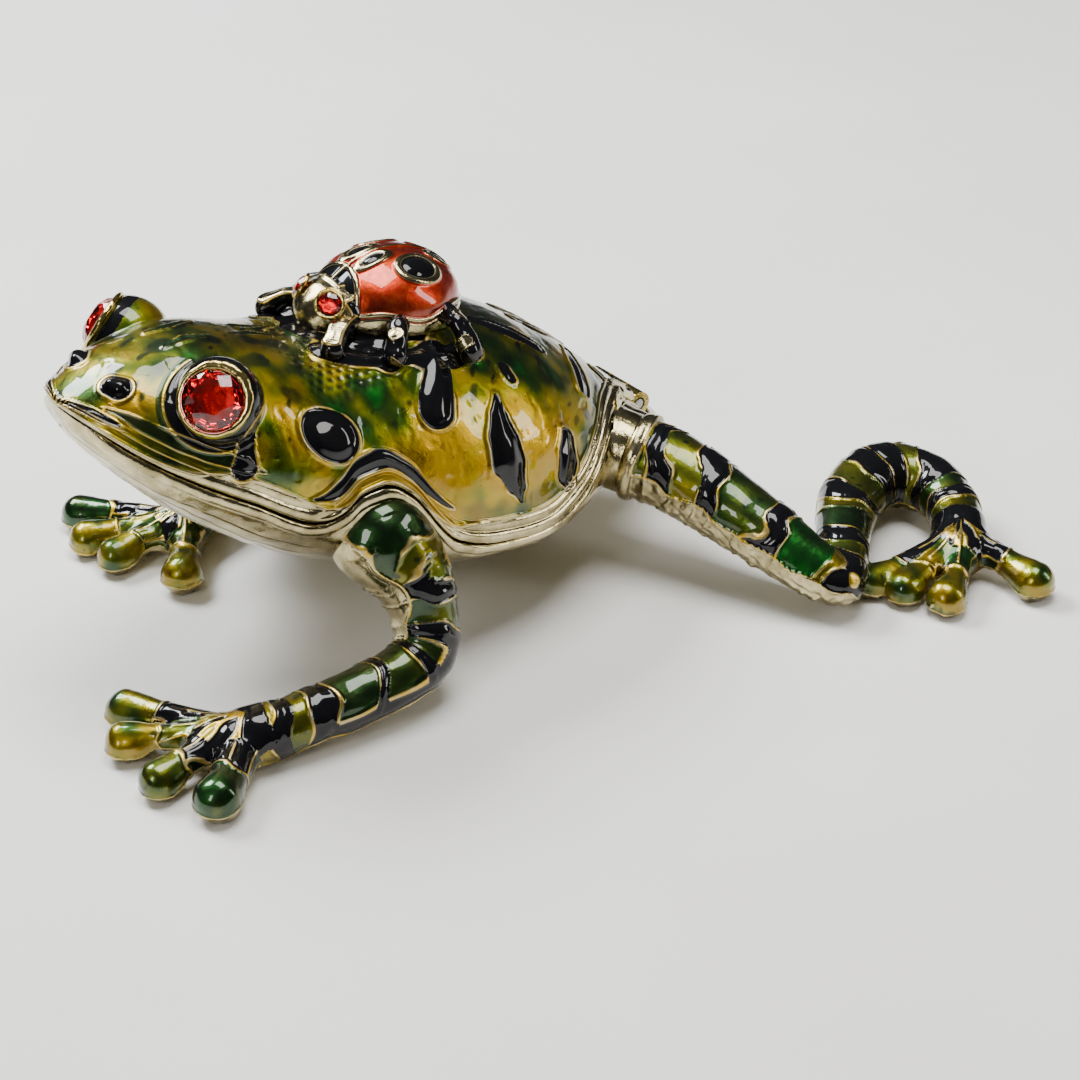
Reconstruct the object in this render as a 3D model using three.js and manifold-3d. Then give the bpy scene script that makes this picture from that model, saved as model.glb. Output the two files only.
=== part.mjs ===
// Enamelled frog trinket box with a ladybird on its back: a cast metal base and lid joined by a
// tail hinge, four cast legs, set crystals and a magnetic catch at the nose.
// Millimetres, +Z up. The head points along -X, the tail along +X and the frog's right side is +Y.
import * as THREE from 'three';
import { mergeVertices } from 'three/addons/utils/BufferGeometryUtils.js';
import Module from 'manifold-3d';

const wasm = await Module();
wasm.setup();

// ---------- driving dimensions ----------
const WALL = 1.3;              // cast wall of the base and the lid
const SEAM_GAP = 0.3;          // gap between the closed lid and the base
const JOIN_GAP = 0.3;          // gap between a soldered piece and the shell it sits on
const BODY_RINGS = 38;         // sections along the body
const BODY_SIDES = 32;         // points round one body section
const TOP_POWER = 2.15;        // superellipse power of the upper half of a body section
const CAVITY_FRONT = -1;       // the jaw ahead of here is solid and holds the magnets
const CAVITY_REAR = 42.3;
const EYE = { centre: [0, 6.3, 25], radius: 3.25, facing: [-0.55, 0.65, 0.52] };
const EYE_CRYSTAL = { radius: 2.15, reach: 2.6 };      // girdle radius, distance of girdle from EYE.centre
const BUG = { centre: [19.0, 0, 25.1], size: [6.0, 5.0, 4.2], pitch: 8 };
const BUG_HEAD = { centre: [13.6, 0, 26.0], size: [2.6, 3.2, 2.6] };
const BUG_EYE = { centre: [12.9, 1.7, 27.0], facing: [-0.62, 0.55, 0.56], radius: 0.92, reach: 1.0 };
const HINGE = { x: 42.2, z: 9.4, radius: 1.1, bore: 0.62, pin: 0.46, knuckle: 1.8, gap: 0.3 };
const GROOVE_LENGTH = 9;       // the hinge groove runs right across the tail
const HIP = { centre: [37.5, 7.2, 9.4], size: [3.7, 3.5, 3.5] };   // bulge of the base round each thigh root
const MAGNET = { x: -4.1, radius: 1.9, thickness: 1.4, tilt: 38 };
const POCKET_FLOOR = 0.4;      // gap under the back of a crystal

const CAVITY_RINGS = 18;
const CAVITY_SIDES = 24;
const CAVITY_ROUNDING = 12;    // power of the cavity's end rounding, higher is squarer
const SEAM_POINTS = 64;
const STEM_SIDES = 10;
const DIGIT_SIDES = 8;
const BUG_LEG_SIDES = 7;
const STEPS_PER_SPAN = 2;      // rings between two stations of a limb
const BORE_SIDES = 20;         // sides of the groove, the magnets and their pockets
const HINGE_SIDES = 16;

// Body outline stations, each [x, value].
const BACK_Z = [[-9.6, 25.0], [-9.3, 25.8], [-8.0, 26.5], [-4.5, 27.5], [0, 28.0], [4, 27.2], [8.5, 25.5],
  [13, 24.9], [19, 24.6], [25, 23.2], [30, 20.7], [34, 17.7], [39.3, 12.9], [43, 9.5], [45.4, 7.0], [46.2, 5.8]];
const BELLY_Z = [[-9.6, 25.0], [-9.1, 23.2], [-6, 18.8], [-2, 14.6], [2, 11.4], [7, 8.2], [13, 5.4], [19, 4.0],
  [25, 3.4], [31, 3.3], [37, 3.6], [42, 4.3], [45.2, 5.1], [46.2, 5.8]];
const HALF_WIDTH = [[-9.6, 0], [-9.2, 2.0], [-8.3, 3.8], [-7, 5.2], [-5, 6.9], [0, 9.5], [6, 11.0], [12, 12.3],
  [18, 13.0], [24, 12.8], [30, 11.3], [35, 8.6], [40, 5.6], [43.5, 3.5], [45.6, 1.6], [46.2, 0]];
const WIDEST_Z = [[-9.6, 25.0], [-5, 21.4], [0, 17.9], [6, 14.6], [12, 11.8], [18, 9.6], [24, 8.6], [30, 8.8],
  [36, 9.0], [41, 8.0], [46.2, 5.8]];

// Superellipse power of the lower half of a section: full at the jaw, sharper at the belly.
const LOW_POWER = [[-9.6, 2.3], [2, 2.2], [14, 1.75], [46.2, 1.9]];

// Parting line between lid and base in side view: mouth, arch over the shoulder, side, rise to the hinge.
const SEAM = [[-13, 28.0], [-9.5, 25.2], [-5.3, 21.6], [0.2, 18.1], [5.6, 15.1], [7.2, 15.5], [8.6, 16.5],
  [10.6, 16.7], [12.8, 15.2], [14.4, 12.6], [16, 10.6], [20, 9.0], [24.8, 8.3], [28.7, 9.2], [32.3, 11.2],
  [35.2, 12.4], [37.8, 12.3], [41.2, 10.2], [42.2, 9.8], [43, 11.4], [44.4, 16], [50, 32]];

// Limb stations, each [x, y, z, radius] from the body outwards.
const FRONT_LEFT = {
  stem: [[10.6, -10.6, 11.8, 3.9], [11.6, -12.8, 9.4, 3.1], [11.8, -14.2, 6.8, 2.6], [10.9, -15.5, 4.2, 2.4],
    [8.4, -16.0, 3.2, 2.3], [4, -15.9, 2.8, 2.2], [-1, -15.4, 2.5, 2.1], [-4.5, -14.3, 1.95, 2.3],
    [-6.2, -13.5, 1.8, 2.0]],
  digits: [
    [[-5.2, -12.6, 1.9, 1.4], [-7.3, -8.6, 2.0, 1.05], [-8.9, -4.9, 1.35, 1.6]],
    [[-6.2, -12.8, 1.9, 1.4], [-9.0, -10.3, 2.0, 1.0], [-11.0, -8.4, 1.35, 1.6]],
    [[-6.4, -13.8, 1.9, 1.4], [-9.2, -14.0, 2.0, 1.1], [-11.5, -14.0, 1.35, 1.6]],
    [[-5.4, -15.2, 1.9, 1.5], [-7.8, -17.4, 1.8, 1.4], [-9.5, -18.6, 1.55, 1.8]],
  ],
};
const FRONT_RIGHT = {
  stem: [[10.8, 10.8, 11.6, 3.9], [14.4, 13.2, 8.6, 3.2], [18.4, 15.4, 5.2, 2.8], [20.0, 16.8, 3.4, 2.7],
    [18.0, 17.3, 2.8, 2.5], [13.5, 16.4, 2.6, 2.3], [9.6, 15.0, 2.2, 2.2], [7.4, 14.2, 1.8, 2.2]],
  digits: [
    [[7.4, 15.2, 1.9, 1.4], [4.9, 19.0, 2.0, 1.05], [2.7, 22.4, 1.35, 1.6]],
    [[6.8, 14.8, 1.9, 1.4], [3.6, 16.9, 2.0, 1.0], [1.2, 18.4, 1.35, 1.6]],
    [[6.6, 14.2, 1.9, 1.4], [3.9, 14.5, 2.0, 1.1], [1.6, 14.6, 1.35, 1.6]],
    [[7.4, 13.0, 1.9, 1.4], [5.8, 10.8, 1.8, 1.2], [4.3, 8.8, 1.45, 1.7]],
  ],
};
const HIND_LEFT = {
  stem: [[35.4, -6.6, 9.6, 3.4], [38.2, -11.6, 8.4, 3.3], [39.9, -16.2, 6.8, 3.0], [41.2, -20.6, 5.2, 2.7],
    [42.4, -24.2, 3.7, 2.3], [43.6, -26.2, 2.8, 1.9], [45.4, -24.8, 2.7, 1.9], [48.4, -21.6, 2.9, 2.2],
    [52, -18.4, 3.1, 2.5], [55.6, -16.7, 3.3, 2.7], [58.8, -17.3, 3.2, 2.7], [60.0, -20.4, 2.9, 2.4],
    [59.0, -23.9, 2.6, 2.1], [56.9, -26.5, 2.0, 2.2], [55.4, -27.8, 1.7, 2.0]],
  digits: [
    [[56.6, -27.2, 2.0, 1.5], [57.4, -31.0, 1.9, 1.1], [57.6, -34.2, 1.45, 1.7]],
    [[55.2, -28.2, 2.0, 1.4], [52.6, -30.4, 1.9, 1.0], [50.4, -31.6, 1.35, 1.6]],
    [[54.8, -27.6, 2.0, 1.4], [51.4, -28.2, 1.9, 1.0], [48.8, -28.5, 1.25, 1.5]],
    [[55.0, -27.0, 2.0, 1.4], [51.0, -26.6, 1.8, 1.0], [47.6, -26.0, 1.15, 1.4]],
  ],
};
const HIND_RIGHT = {
  stem: [[35.4, 6.6, 9.6, 3.4], [32.4, 12.4, 9.0, 3.3], [29.0, 16.8, 8.2, 3.0], [26.6, 19.4, 6.8, 2.5],
    [27.0, 20.4, 5.0, 2.2], [30.6, 19.8, 3.8, 2.4], [35.2, 18.8, 3.0, 2.3], [38.4, 19.2, 2.6, 2.1],
    [38.0, 21.6, 2.4, 2.0], [34.8, 22.8, 1.9, 2.1], [32.2, 23.2, 1.7, 2.0]],
  digits: [
    [[32.6, 24.0, 2.0, 1.4], [31.2, 26.0, 1.9, 1.05], [30.0, 27.4, 1.35, 1.6]],
    [[31.6, 23.8, 2.0, 1.4], [28.6, 25.2, 1.9, 1.0], [26.0, 26.4, 1.35, 1.6]],
    [[31.4, 23.2, 2.0, 1.4], [28.0, 23.4, 1.9, 1.0], [25.0, 23.4, 1.25, 1.5]],
    [[33.0, 24.4, 2.0, 1.4], [34.2, 26.4, 1.9, 1.0], [35.0, 27.8, 1.25, 1.5]],
  ],
};
// Ladybird legs on its left side, mirrored for the right.
const BUG_LEGS = [
  [[14.2, -2.4, 25.6, 0.9], [12.4, -3.6, 25.8, 0.8], [11.2, -4.4, 25.0, 1.0]],
  [[17.4, -4.0, 25.2, 0.9], [16.2, -5.6, 25.2, 0.75], [15.4, -6.4, 24.0, 0.95]],
  [[21.4, -4.2, 24.8, 0.9], [21.4, -6.0, 24.6, 0.75], [21.4, -7.6, 22.9, 0.95]],
];

// ---------- profiles and solids ----------

// Smooth function through [x, value] stations that never overshoots between them.
function profile(stations) {
  const slopes = stations.map((station, i) => {
    if (i === 0 || i === stations.length - 1) return null;
    const before = (station[1] - stations[i - 1][1]) / (station[0] - stations[i - 1][0]);
    const after = (stations[i + 1][1] - station[1]) / (stations[i + 1][0] - station[0]);
    return before * after <= 0 ? 0 : (2 * before * after) / (before + after);
  });
  const endSlope = (i, j) => (stations[j][1] - stations[i][1]) / (stations[j][0] - stations[i][0]);
  slopes[0] = endSlope(0, 1);
  slopes[slopes.length - 1] = endSlope(stations.length - 2, stations.length - 1);
  return (x) => {
    if (x <= stations[0][0]) return stations[0][1];
    const last = stations.length - 1;
    if (x >= stations[last][0]) return stations[last][1];
    const i = stations.findIndex((station, k) => k < last && x < stations[k + 1][0]);
    const span = stations[i + 1][0] - stations[i][0];
    const t = (x - stations[i][0]) / span;
    const rise = stations[i + 1][1] - stations[i][1];
    const bend = (slopes[i] * (1 - t) - slopes[i + 1] * t) * span - rise * (1 - 2 * t);
    return stations[i][1] + rise * t + t * (1 - t) * bend;
  };
}

// Closed mesh from rings of equal length, with a single point closing each end.
function skin(rings, startPoint, endPoint) {
  const sides = rings[0].length;
  const points = [startPoint, ...rings.flat(), endPoint];
  const index = [];
  const at = (ring, side) => 1 + ring * sides + (side % sides);
  for (let side = 0; side < sides; side += 1) {
    index.push(0, at(0, side + 1), at(0, side));
    index.push(points.length - 1, at(rings.length - 1, side), at(rings.length - 1, side + 1));
    for (let ring = 0; ring < rings.length - 1; ring += 1) {
      const corners = [at(ring, side), at(ring, side + 1), at(ring + 1, side + 1), at(ring + 1, side)];
      index.push(corners[0], corners[1], corners[2], corners[0], corners[2], corners[3]);
    }
  }
  const geometry = new THREE.BufferGeometry();
  geometry.setAttribute('position', new THREE.Float32BufferAttribute(points.flatMap((p) => p.toArray()), 3));
  geometry.setIndex(index);
  return geometry;
}

function toSolid(geometry, matrix = new THREE.Matrix4()) {
  const bare = geometry.clone().applyMatrix4(matrix);
  bare.deleteAttribute('normal');
  bare.deleteAttribute('uv');
  const merged = mergeVertices(bare, 1e-4);
  return new wasm.Manifold(new wasm.Mesh({
    numProp: 3,
    vertProperties: new Float32Array(merged.attributes.position.array),
    triVerts: new Uint32Array(merged.index.array),
  }));
}

function toGeometry(solid) {
  const mesh = solid.getMesh();
  const geometry = new THREE.BufferGeometry();
  geometry.setAttribute('position', new THREE.BufferAttribute(new Float32Array(mesh.vertProperties), 3));
  geometry.setIndex(new THREE.BufferAttribute(new Uint32Array(mesh.triVerts), 1));
  geometry.computeVertexNormals();
  return geometry;
}

const join = (solids) => solids.reduce((whole, solid) => whole.add(solid));

// Matrix that moves a piece made round +Z at the origin to a place and turns +Z to a direction.
function placed(position, direction) {
  const up = new THREE.Vector3(0, 0, 1);
  const turn = new THREE.Quaternion().setFromUnitVectors(up, new THREE.Vector3(...direction).normalize());
  return new THREE.Matrix4().compose(new THREE.Vector3(...position), turn, new THREE.Vector3(1, 1, 1));
}

const mirrored = (point, side) => [point[0], side * point[1], point[2]];

// Solid of revolution round +Z from [radius, height] corners that start and end on the axis.
function turned(corners, segments, matrix) {
  const outline = corners.map(([radius, height]) => new THREE.Vector2(radius, height));
  const upright = new THREE.LatheGeometry(outline, segments).rotateX(Math.PI / 2);
  return toSolid(upright, matrix);
}

// Disc or rod round +Z from height low to height high.
const rod = (radius, low, high, segments, matrix) =>
  turned([[0, low], [radius, low], [radius, high], [0, high]], segments, matrix);

function ellipsoid(centre, size, pitchDegrees, widthSegments = 16, heightSegments = 10) {
  const turn = new THREE.Quaternion().setFromEuler(new THREE.Euler(0, THREE.MathUtils.degToRad(pitchDegrees), 0));
  const matrix = new THREE.Matrix4().compose(new THREE.Vector3(...centre), turn, new THREE.Vector3(...size));
  return toSolid(new THREE.SphereGeometry(1, widthSegments, heightSegments), matrix);
}

// ---------- body ----------
const backZ = profile(BACK_Z);
const bellyZ = profile(BELLY_Z);
const halfWidth = profile(HALF_WIDTH);
const widestZ = profile(WIDEST_Z);
const lowPower = profile(LOW_POWER);

// Ring of the body at x, grown by offset (negative for the cavity) and shrunk towards its middle by taper.
function bodyRing(x, sampleX, offset, taper, sides) {
  const low = bellyZ(sampleX) - offset;
  const high = backZ(sampleX) + offset;
  const wide = Math.max(halfWidth(sampleX) + offset, 0.02);
  const middle = Math.min(Math.max(widestZ(sampleX), low + 0.01), high - 0.01);
  const ring = [];
  for (let side = 0; side < sides; side += 1) {
    const angle = (side / sides) * 2 * Math.PI;
    const power = Math.sin(angle) > 0 ? TOP_POWER : lowPower(sampleX);
    const across = Math.sign(Math.cos(angle)) * Math.abs(Math.cos(angle)) ** (2 / power);
    const along = Math.sign(Math.sin(angle)) * Math.abs(Math.sin(angle)) ** (2 / power);
    const reach = along > 0 ? high - middle : middle - low;
    ring.push(new THREE.Vector3(x, wide * across * taper, middle + reach * along * taper));
  }
  return ring;
}

// Closed body form between two x limits, with rings packed closer at the ends.
function bodyForm(offset, front, rear, rings, sides, rounding) {
  const made = [];
  for (let i = 0; i <= rings; i += 1) {
    const eased = (1 - Math.cos((Math.PI * (i + 0.5)) / (rings + 1))) / 2;
    const x = front + (rear - front) * eased;
    const sampleX = Math.min(Math.max(x, BACK_Z[0][0] + 0.03), BACK_Z.at(-1)[0] - 0.03);
    const taper = rounding ? (1 - Math.abs(2 * eased - 1) ** rounding) ** 0.5 : 1;
    made.push(bodyRing(x, sampleX, offset, taper, sides));
  }
  const endPoint = (x) => new THREE.Vector3(x, 0, widestZ(x));
  return toSolid(skin(made, endPoint(front), endPoint(rear)));
}

// Limits of the blocks that cut the whole frog.
const TOOL_TOP = 60;
const TOOL_FLOOR = -20;
const TOOL_WIDTH = 80;

// Block above or below the parting line, as wide as the whole frog.
function seamBlock(above) {
  const shift = above ? SEAM_GAP / 2 : -SEAM_GAP / 2;
  const curve = new THREE.SplineCurve(SEAM.map(([x, z]) => new THREE.Vector2(x, z + shift)));
  const outline = curve.getPoints(SEAM_POINTS);
  const far = above ? TOOL_TOP : TOOL_FLOOR;
  outline.push(new THREE.Vector2(SEAM.at(-1)[0], far), new THREE.Vector2(SEAM[0][0], far));
  const block = new THREE.ExtrudeGeometry(new THREE.Shape(outline), { depth: TOOL_WIDTH, bevelEnabled: false });
  block.translate(0, 0, -TOOL_WIDTH / 2).rotateX(Math.PI / 2);
  return toSolid(block);
}

const FRONT_X = BACK_Z[0][0];
const REAR_X = BACK_Z.at(-1)[0];
const outerForm = bodyForm(0, FRONT_X, REAR_X, BODY_RINGS, BODY_SIDES, 0);
const cavityForm = bodyForm(-WALL, CAVITY_FRONT, CAVITY_REAR, CAVITY_RINGS, CAVITY_SIDES, CAVITY_ROUNDING);
const clearForm = bodyForm(JOIN_GAP, FRONT_X - JOIN_GAP, REAR_X + JOIN_GAP, BODY_RINGS, BODY_SIDES, 0);

const alongY = (x, y, z) => placed([x, y, z], [0, 1, 0]);
const hingeLength = 3 * HINGE.knuckle + 2 * HINGE.gap;
const hingeGroove = rod(HINGE.radius + JOIN_GAP, -GROOVE_LENGTH / 2, GROOVE_LENGTH / 2, BORE_SIDES,
  alongY(HINGE.x, 0, HINGE.z));

// The two magnets face each other across the parting line behind the nose.
const seamZ = profile(SEAM);
const magnetDirection = [Math.sin(THREE.MathUtils.degToRad(MAGNET.tilt)), 0,
  Math.cos(THREE.MathUtils.degToRad(MAGNET.tilt))];
const magnetMatrix = placed([MAGNET.x, 0, seamZ(MAGNET.x)], magnetDirection);
const magnetFace = SEAM_GAP + 0.1;
const lidMagnet = rod(MAGNET.radius, magnetFace, magnetFace + MAGNET.thickness, BORE_SIDES, magnetMatrix);
const baseMagnet = rod(MAGNET.radius, -magnetFace - MAGNET.thickness, -magnetFace, BORE_SIDES, magnetMatrix);
const pocketReach = magnetFace + MAGNET.thickness + JOIN_GAP;
const magnetPocket = rod(MAGNET.radius + JOIN_GAP, -pocketReach, pocketReach, BORE_SIDES, magnetMatrix);

// Faceted crystal round +Z: table, crown, girdle and shallow back, with its girdle at height 0.
function crystal(radius, matrix) {
  const corners = [[0, -0.5 * radius], [0.98 * radius, -0.06 * radius], [radius, 0], [0.6 * radius, 0.42 * radius],
    [0, 0.5 * radius]];
  return turned(corners, 12, matrix);
}

const crystalPocket = (radius, matrix) =>
  rod(radius + JOIN_GAP, -0.5 * radius - POCKET_FLOOR, 3 * radius, HINGE_SIDES, matrix);

function eyeMatrix(eye, reach, side) {
  const direction = new THREE.Vector3(...mirrored(eye.facing, side)).normalize();
  const seat = new THREE.Vector3(...mirrored(eye.centre, side)).addScaledVector(direction, reach);
  return placed(seat.toArray(), direction.toArray());
}

// ---------- limbs ----------

// Tapered round limb through [x, y, z, radius] stations, with rounded ends.
function limb(stations, sides) {
  const curve = new THREE.CatmullRomCurve3(stations.map(([x, y, z]) => new THREE.Vector3(x, y, z)));
  const steps = (stations.length - 1) * STEPS_PER_SPAN;
  const radiusAt = profile(stations.map((station, i) => [i, station[3]]));
  const frames = frameAlong(curve, steps);
  const rings = [];
  const ringAt = (centre, frame, radius) => Array.from({ length: sides }, (_, side) => {
    const angle = (side / sides) * 2 * Math.PI;
    return centre.clone()
      .addScaledVector(frame.normal, radius * Math.cos(angle))
      .addScaledVector(frame.binormal, radius * Math.sin(angle));
  });
  const first = frames[0];
  const last = frames[steps];
  const startRadius = stations[0][3];
  const endRadius = stations.at(-1)[3];
  const bulge = (frame, radius, sign, angle) => ringAt(
    frame.point.clone().addScaledVector(frame.tangent, sign * radius * Math.sin(angle)),
    frame, radius * Math.cos(angle));
  rings.push(bulge(first, startRadius, -1, 1.05), bulge(first, startRadius, -1, 0.5));
  frames.forEach((frame, i) => rings.push(ringAt(frame.point, frame, radiusAt(i / STEPS_PER_SPAN))));
  rings.push(bulge(last, endRadius, 1, 0.5), bulge(last, endRadius, 1, 1.05));
  const startTip = first.point.clone().addScaledVector(first.tangent, -startRadius);
  const endTip = last.point.clone().addScaledVector(last.tangent, endRadius);
  return toSolid(skin(rings, startTip, endTip));
}

// Points and twist-free frames at equal parameter steps along a curve.
function frameAlong(curve, steps) {
  const frames = [];
  let normal = new THREE.Vector3(0, 0, 1);
  for (let i = 0; i <= steps; i += 1) {
    const tangent = curve.getTangent(i / steps);
    normal = normal.clone().addScaledVector(tangent, -normal.dot(tangent)).normalize();
    frames.push({
      point: curve.getPoint(i / steps),
      tangent,
      normal,
      binormal: new THREE.Vector3().crossVectors(tangent, normal),
    });
  }
  return frames;
}

const hipForms = (growth) => [-1, 1].map((side) =>
  ellipsoid(mirrored(HIP.centre, side), HIP.size.map((half) => half + growth), 0, 14, 10));

const aboveGround = toSolid(new THREE.BoxGeometry(4 * TOOL_WIDTH, 4 * TOOL_WIDTH, TOOL_WIDTH)
  .translate(0, 0, TOOL_WIDTH / 2));

// A leg with its digits, flattened where it touches the ground and cut clear of the body.
function leg({ stem, digits }) {
  const parts = [limb(stem, STEM_SIDES), ...digits.map((digit) => limb(digit, DIGIT_SIDES))];
  return join(parts).intersect(aboveGround).subtract(clearForm).subtract(join(hipForms(JOIN_GAP)));
}

// ---------- ladybird ----------
function ladybird() {
  const parts = [
    ellipsoid(BUG.centre, BUG.size, BUG.pitch, 18, 12),
    ellipsoid(BUG_HEAD.centre, BUG_HEAD.size, 0, 12, 8),
    ...BUG_LEGS.map((stations) => limb(stations, BUG_LEG_SIDES)),
    ...BUG_LEGS.map((stations) => limb(stations.map(([x, y, z, r]) => [x, -y, z, r]), BUG_LEG_SIDES)),
  ];
  const pockets = [-1, 1].map((side) =>
    crystalPocket(BUG_EYE.radius, eyeMatrix(BUG_EYE, BUG_EYE.reach, side)));
  return join(parts).subtract(clearForm).subtract(join(pockets));
}

// ---------- shells ----------
const shell = outerForm.subtract(cavityForm).subtract(hingeGroove);

function lid() {
  const sockets = [-1, 1].map((side) => ellipsoid(mirrored(EYE.centre, side), Array(3).fill(EYE.radius), 0));
  const pockets = [-1, 1].map((side) =>
    crystalPocket(EYE_CRYSTAL.radius, eyeMatrix(EYE, EYE_CRYSTAL.reach, side)));
  const headed = shell.add(join(sockets).subtract(cavityForm));
  return headed.intersect(seamBlock(true)).subtract(join(pockets)).subtract(magnetPocket);
}

const base = () => shell.add(join(hipForms(0)).subtract(cavityForm).subtract(hingeGroove))
  .intersect(seamBlock(false)).subtract(magnetPocket);

// ---------- hinge ----------
const knuckleStep = HINGE.knuckle + HINGE.gap;

function knuckle(slot) {
  const centre = alongY(HINGE.x, slot * knuckleStep, HINGE.z);
  const half = HINGE.knuckle / 2;
  const bore = rod(HINGE.bore, -hingeLength, hingeLength, HINGE_SIDES, centre);
  return rod(HINGE.radius, -half, half, HINGE_SIDES, centre).subtract(bore);
}

const hingePin = () =>
  rod(HINGE.pin, -hingeLength / 2, hingeLength / 2, HINGE_SIDES, alongY(HINGE.x, 0, HINGE.z));

// ---------- assembly ----------
const FINISH = {
  enamel: { color: 0x8a7a1c, roughness: 0.15, metalness: 0.6 },
  gold: { color: 0xcdbf95, roughness: 0.2, metalness: 1.0 },
  ruby: { color: 0xb3081c, roughness: 0.05, metalness: 0.0 },
  red: { color: 0xc8321c, roughness: 0.15, metalness: 0.5 },
  steel: { color: 0xb8b8b4, roughness: 0.3, metalness: 1.0 },
};

const frog = new THREE.Group();

function addPiece(name, solid, finish) {
  const mesh = new THREE.Mesh(toGeometry(solid), new THREE.MeshStandardMaterial(FINISH[finish]));
  mesh.name = name;
  frog.add(mesh);
}

addPiece('base_tray', base(), 'gold');
addPiece('lid_shell', lid(), 'enamel');
addPiece('front_leg_left', leg(FRONT_LEFT), 'enamel');
addPiece('front_leg_right', leg(FRONT_RIGHT), 'enamel');
addPiece('hind_leg_left', leg(HIND_LEFT), 'enamel');
addPiece('hind_leg_right', leg(HIND_RIGHT), 'enamel');
addPiece('eye_crystal_left', crystal(EYE_CRYSTAL.radius, eyeMatrix(EYE, EYE_CRYSTAL.reach, -1)), 'ruby');
addPiece('eye_crystal_right', crystal(EYE_CRYSTAL.radius, eyeMatrix(EYE, EYE_CRYSTAL.reach, 1)), 'ruby');
addPiece('ladybird', ladybird(), 'red');
addPiece('ladybird_eye_left', crystal(BUG_EYE.radius, eyeMatrix(BUG_EYE, BUG_EYE.reach, -1)), 'ruby');
addPiece('ladybird_eye_right', crystal(BUG_EYE.radius, eyeMatrix(BUG_EYE, BUG_EYE.reach, 1)), 'ruby');
addPiece('hinge_knuckle_base_left', knuckle(-1), 'gold');
addPiece('hinge_knuckle_lid', knuckle(0), 'gold');
addPiece('hinge_knuckle_base_right', knuckle(1), 'gold');
addPiece('hinge_pin', hingePin(), 'steel');
addPiece('magnet_lid', lidMagnet, 'steel');
addPiece('magnet_base', baseMagnet, 'steel');

// The origin is the middle of the underside of the whole frog's box.
const box = new THREE.Box3().setFromObject(frog);
const middle = box.getCenter(new THREE.Vector3());
frog.position.set(-middle.x, -middle.y, -box.min.z);

export default frog;
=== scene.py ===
"""Looks of the enamelled frog trinket box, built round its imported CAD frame.

Lengths are in mm until a mesh is made. The frog's own axes: x runs from head to tail, y to its right side and
z up, with x = 0 under the eyes.
"""
import math

import bmesh
import bpy
import numpy as np
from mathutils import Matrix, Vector


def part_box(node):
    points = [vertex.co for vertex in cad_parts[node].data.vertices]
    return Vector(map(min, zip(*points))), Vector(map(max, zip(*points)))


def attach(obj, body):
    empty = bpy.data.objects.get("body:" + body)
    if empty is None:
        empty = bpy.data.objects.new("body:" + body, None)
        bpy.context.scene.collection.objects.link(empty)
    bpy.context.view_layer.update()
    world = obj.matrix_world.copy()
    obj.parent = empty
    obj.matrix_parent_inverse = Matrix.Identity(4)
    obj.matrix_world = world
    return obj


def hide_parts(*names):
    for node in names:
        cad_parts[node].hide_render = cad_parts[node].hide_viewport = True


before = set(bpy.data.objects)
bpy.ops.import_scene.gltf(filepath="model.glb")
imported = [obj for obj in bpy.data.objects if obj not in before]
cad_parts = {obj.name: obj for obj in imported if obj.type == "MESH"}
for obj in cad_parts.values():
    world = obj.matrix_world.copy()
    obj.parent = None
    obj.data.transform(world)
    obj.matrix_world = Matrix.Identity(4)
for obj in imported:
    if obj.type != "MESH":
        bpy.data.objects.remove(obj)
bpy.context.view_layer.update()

MM = 0.001
FAR = 9.0          # a field value well away from any line or cell
HINGE = np.array([42.2, 0.0, 9.4])
pin_low, pin_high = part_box("hinge_pin")
# Moves frog coordinates to the row frame: the hinge pin is the common point.
ORIGIN = np.array((pin_low + pin_high) / 2) / MM - HINGE
MIRROR = {-1: np.array([1, -1, 1]), 1: np.array([1, 1, 1])}     # to the left and right side

# ---------- body form, the same stations as the CAD ----------
BACK_Z = [(-9.6, 25.0), (-9.3, 25.8), (-8.0, 26.5), (-4.5, 27.5), (0, 28.0), (4, 27.2), (8.5, 25.5), (13, 24.9),
          (19, 24.6), (25, 23.2), (30, 20.7), (34, 17.7), (39.3, 12.9), (43, 9.5), (45.4, 7.0), (46.2, 5.8)]
BELLY_Z = [(-9.6, 25.0), (-9.1, 23.2), (-6, 18.8), (-2, 14.6), (2, 11.4), (7, 8.2), (13, 5.4), (19, 4.0),
           (25, 3.4), (31, 3.3), (37, 3.6), (42, 4.3), (45.2, 5.1), (46.2, 5.8)]
HALF_WIDTH = [(-9.6, 0), (-9.2, 2.0), (-8.3, 3.8), (-7, 5.2), (-5, 6.9), (0, 9.5), (6, 11.0), (12, 12.3),
              (18, 13.0), (24, 12.8), (30, 11.3), (35, 8.6), (40, 5.6), (43.5, 3.5), (45.6, 1.6), (46.2, 0)]
WIDEST_Z = [(-9.6, 25.0), (-5, 21.4), (0, 17.9), (6, 14.6), (12, 11.8), (18, 9.6), (24, 8.6), (30, 8.8),
            (36, 9.0), (41, 8.0), (46.2, 5.8)]
LOW_POWER = [(-9.6, 2.3), (2, 2.2), (14, 1.75), (46.2, 1.9)]
TOP_POWER = 2.15
SEAM = [(-13, 28.0), (-9.5, 25.2), (-5.3, 21.6), (0.2, 18.1), (5.6, 15.1), (7.2, 15.5), (8.6, 16.5),
        (10.6, 16.7), (12.8, 15.2), (14.4, 12.6), (16, 10.6), (20, 9.0), (24.8, 8.3), (28.7, 9.2),
        (32.3, 11.2), (35.2, 12.4), (37.8, 12.3), (41.2, 10.2), (42.2, 9.8)]
WALL = 1.3
SEAM_GAP = 0.18
CAVITY_X = (-1.0, 38.6)
EYE_CENTRE = np.array([0.0, 6.3, 25.0])
EYE_FACING = np.array([-0.55, 0.65, 0.52]) / np.linalg.norm([-0.55, 0.65, 0.52])
EYE_RADIUS = 3.3
EYE_GEM = 2.15
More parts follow.
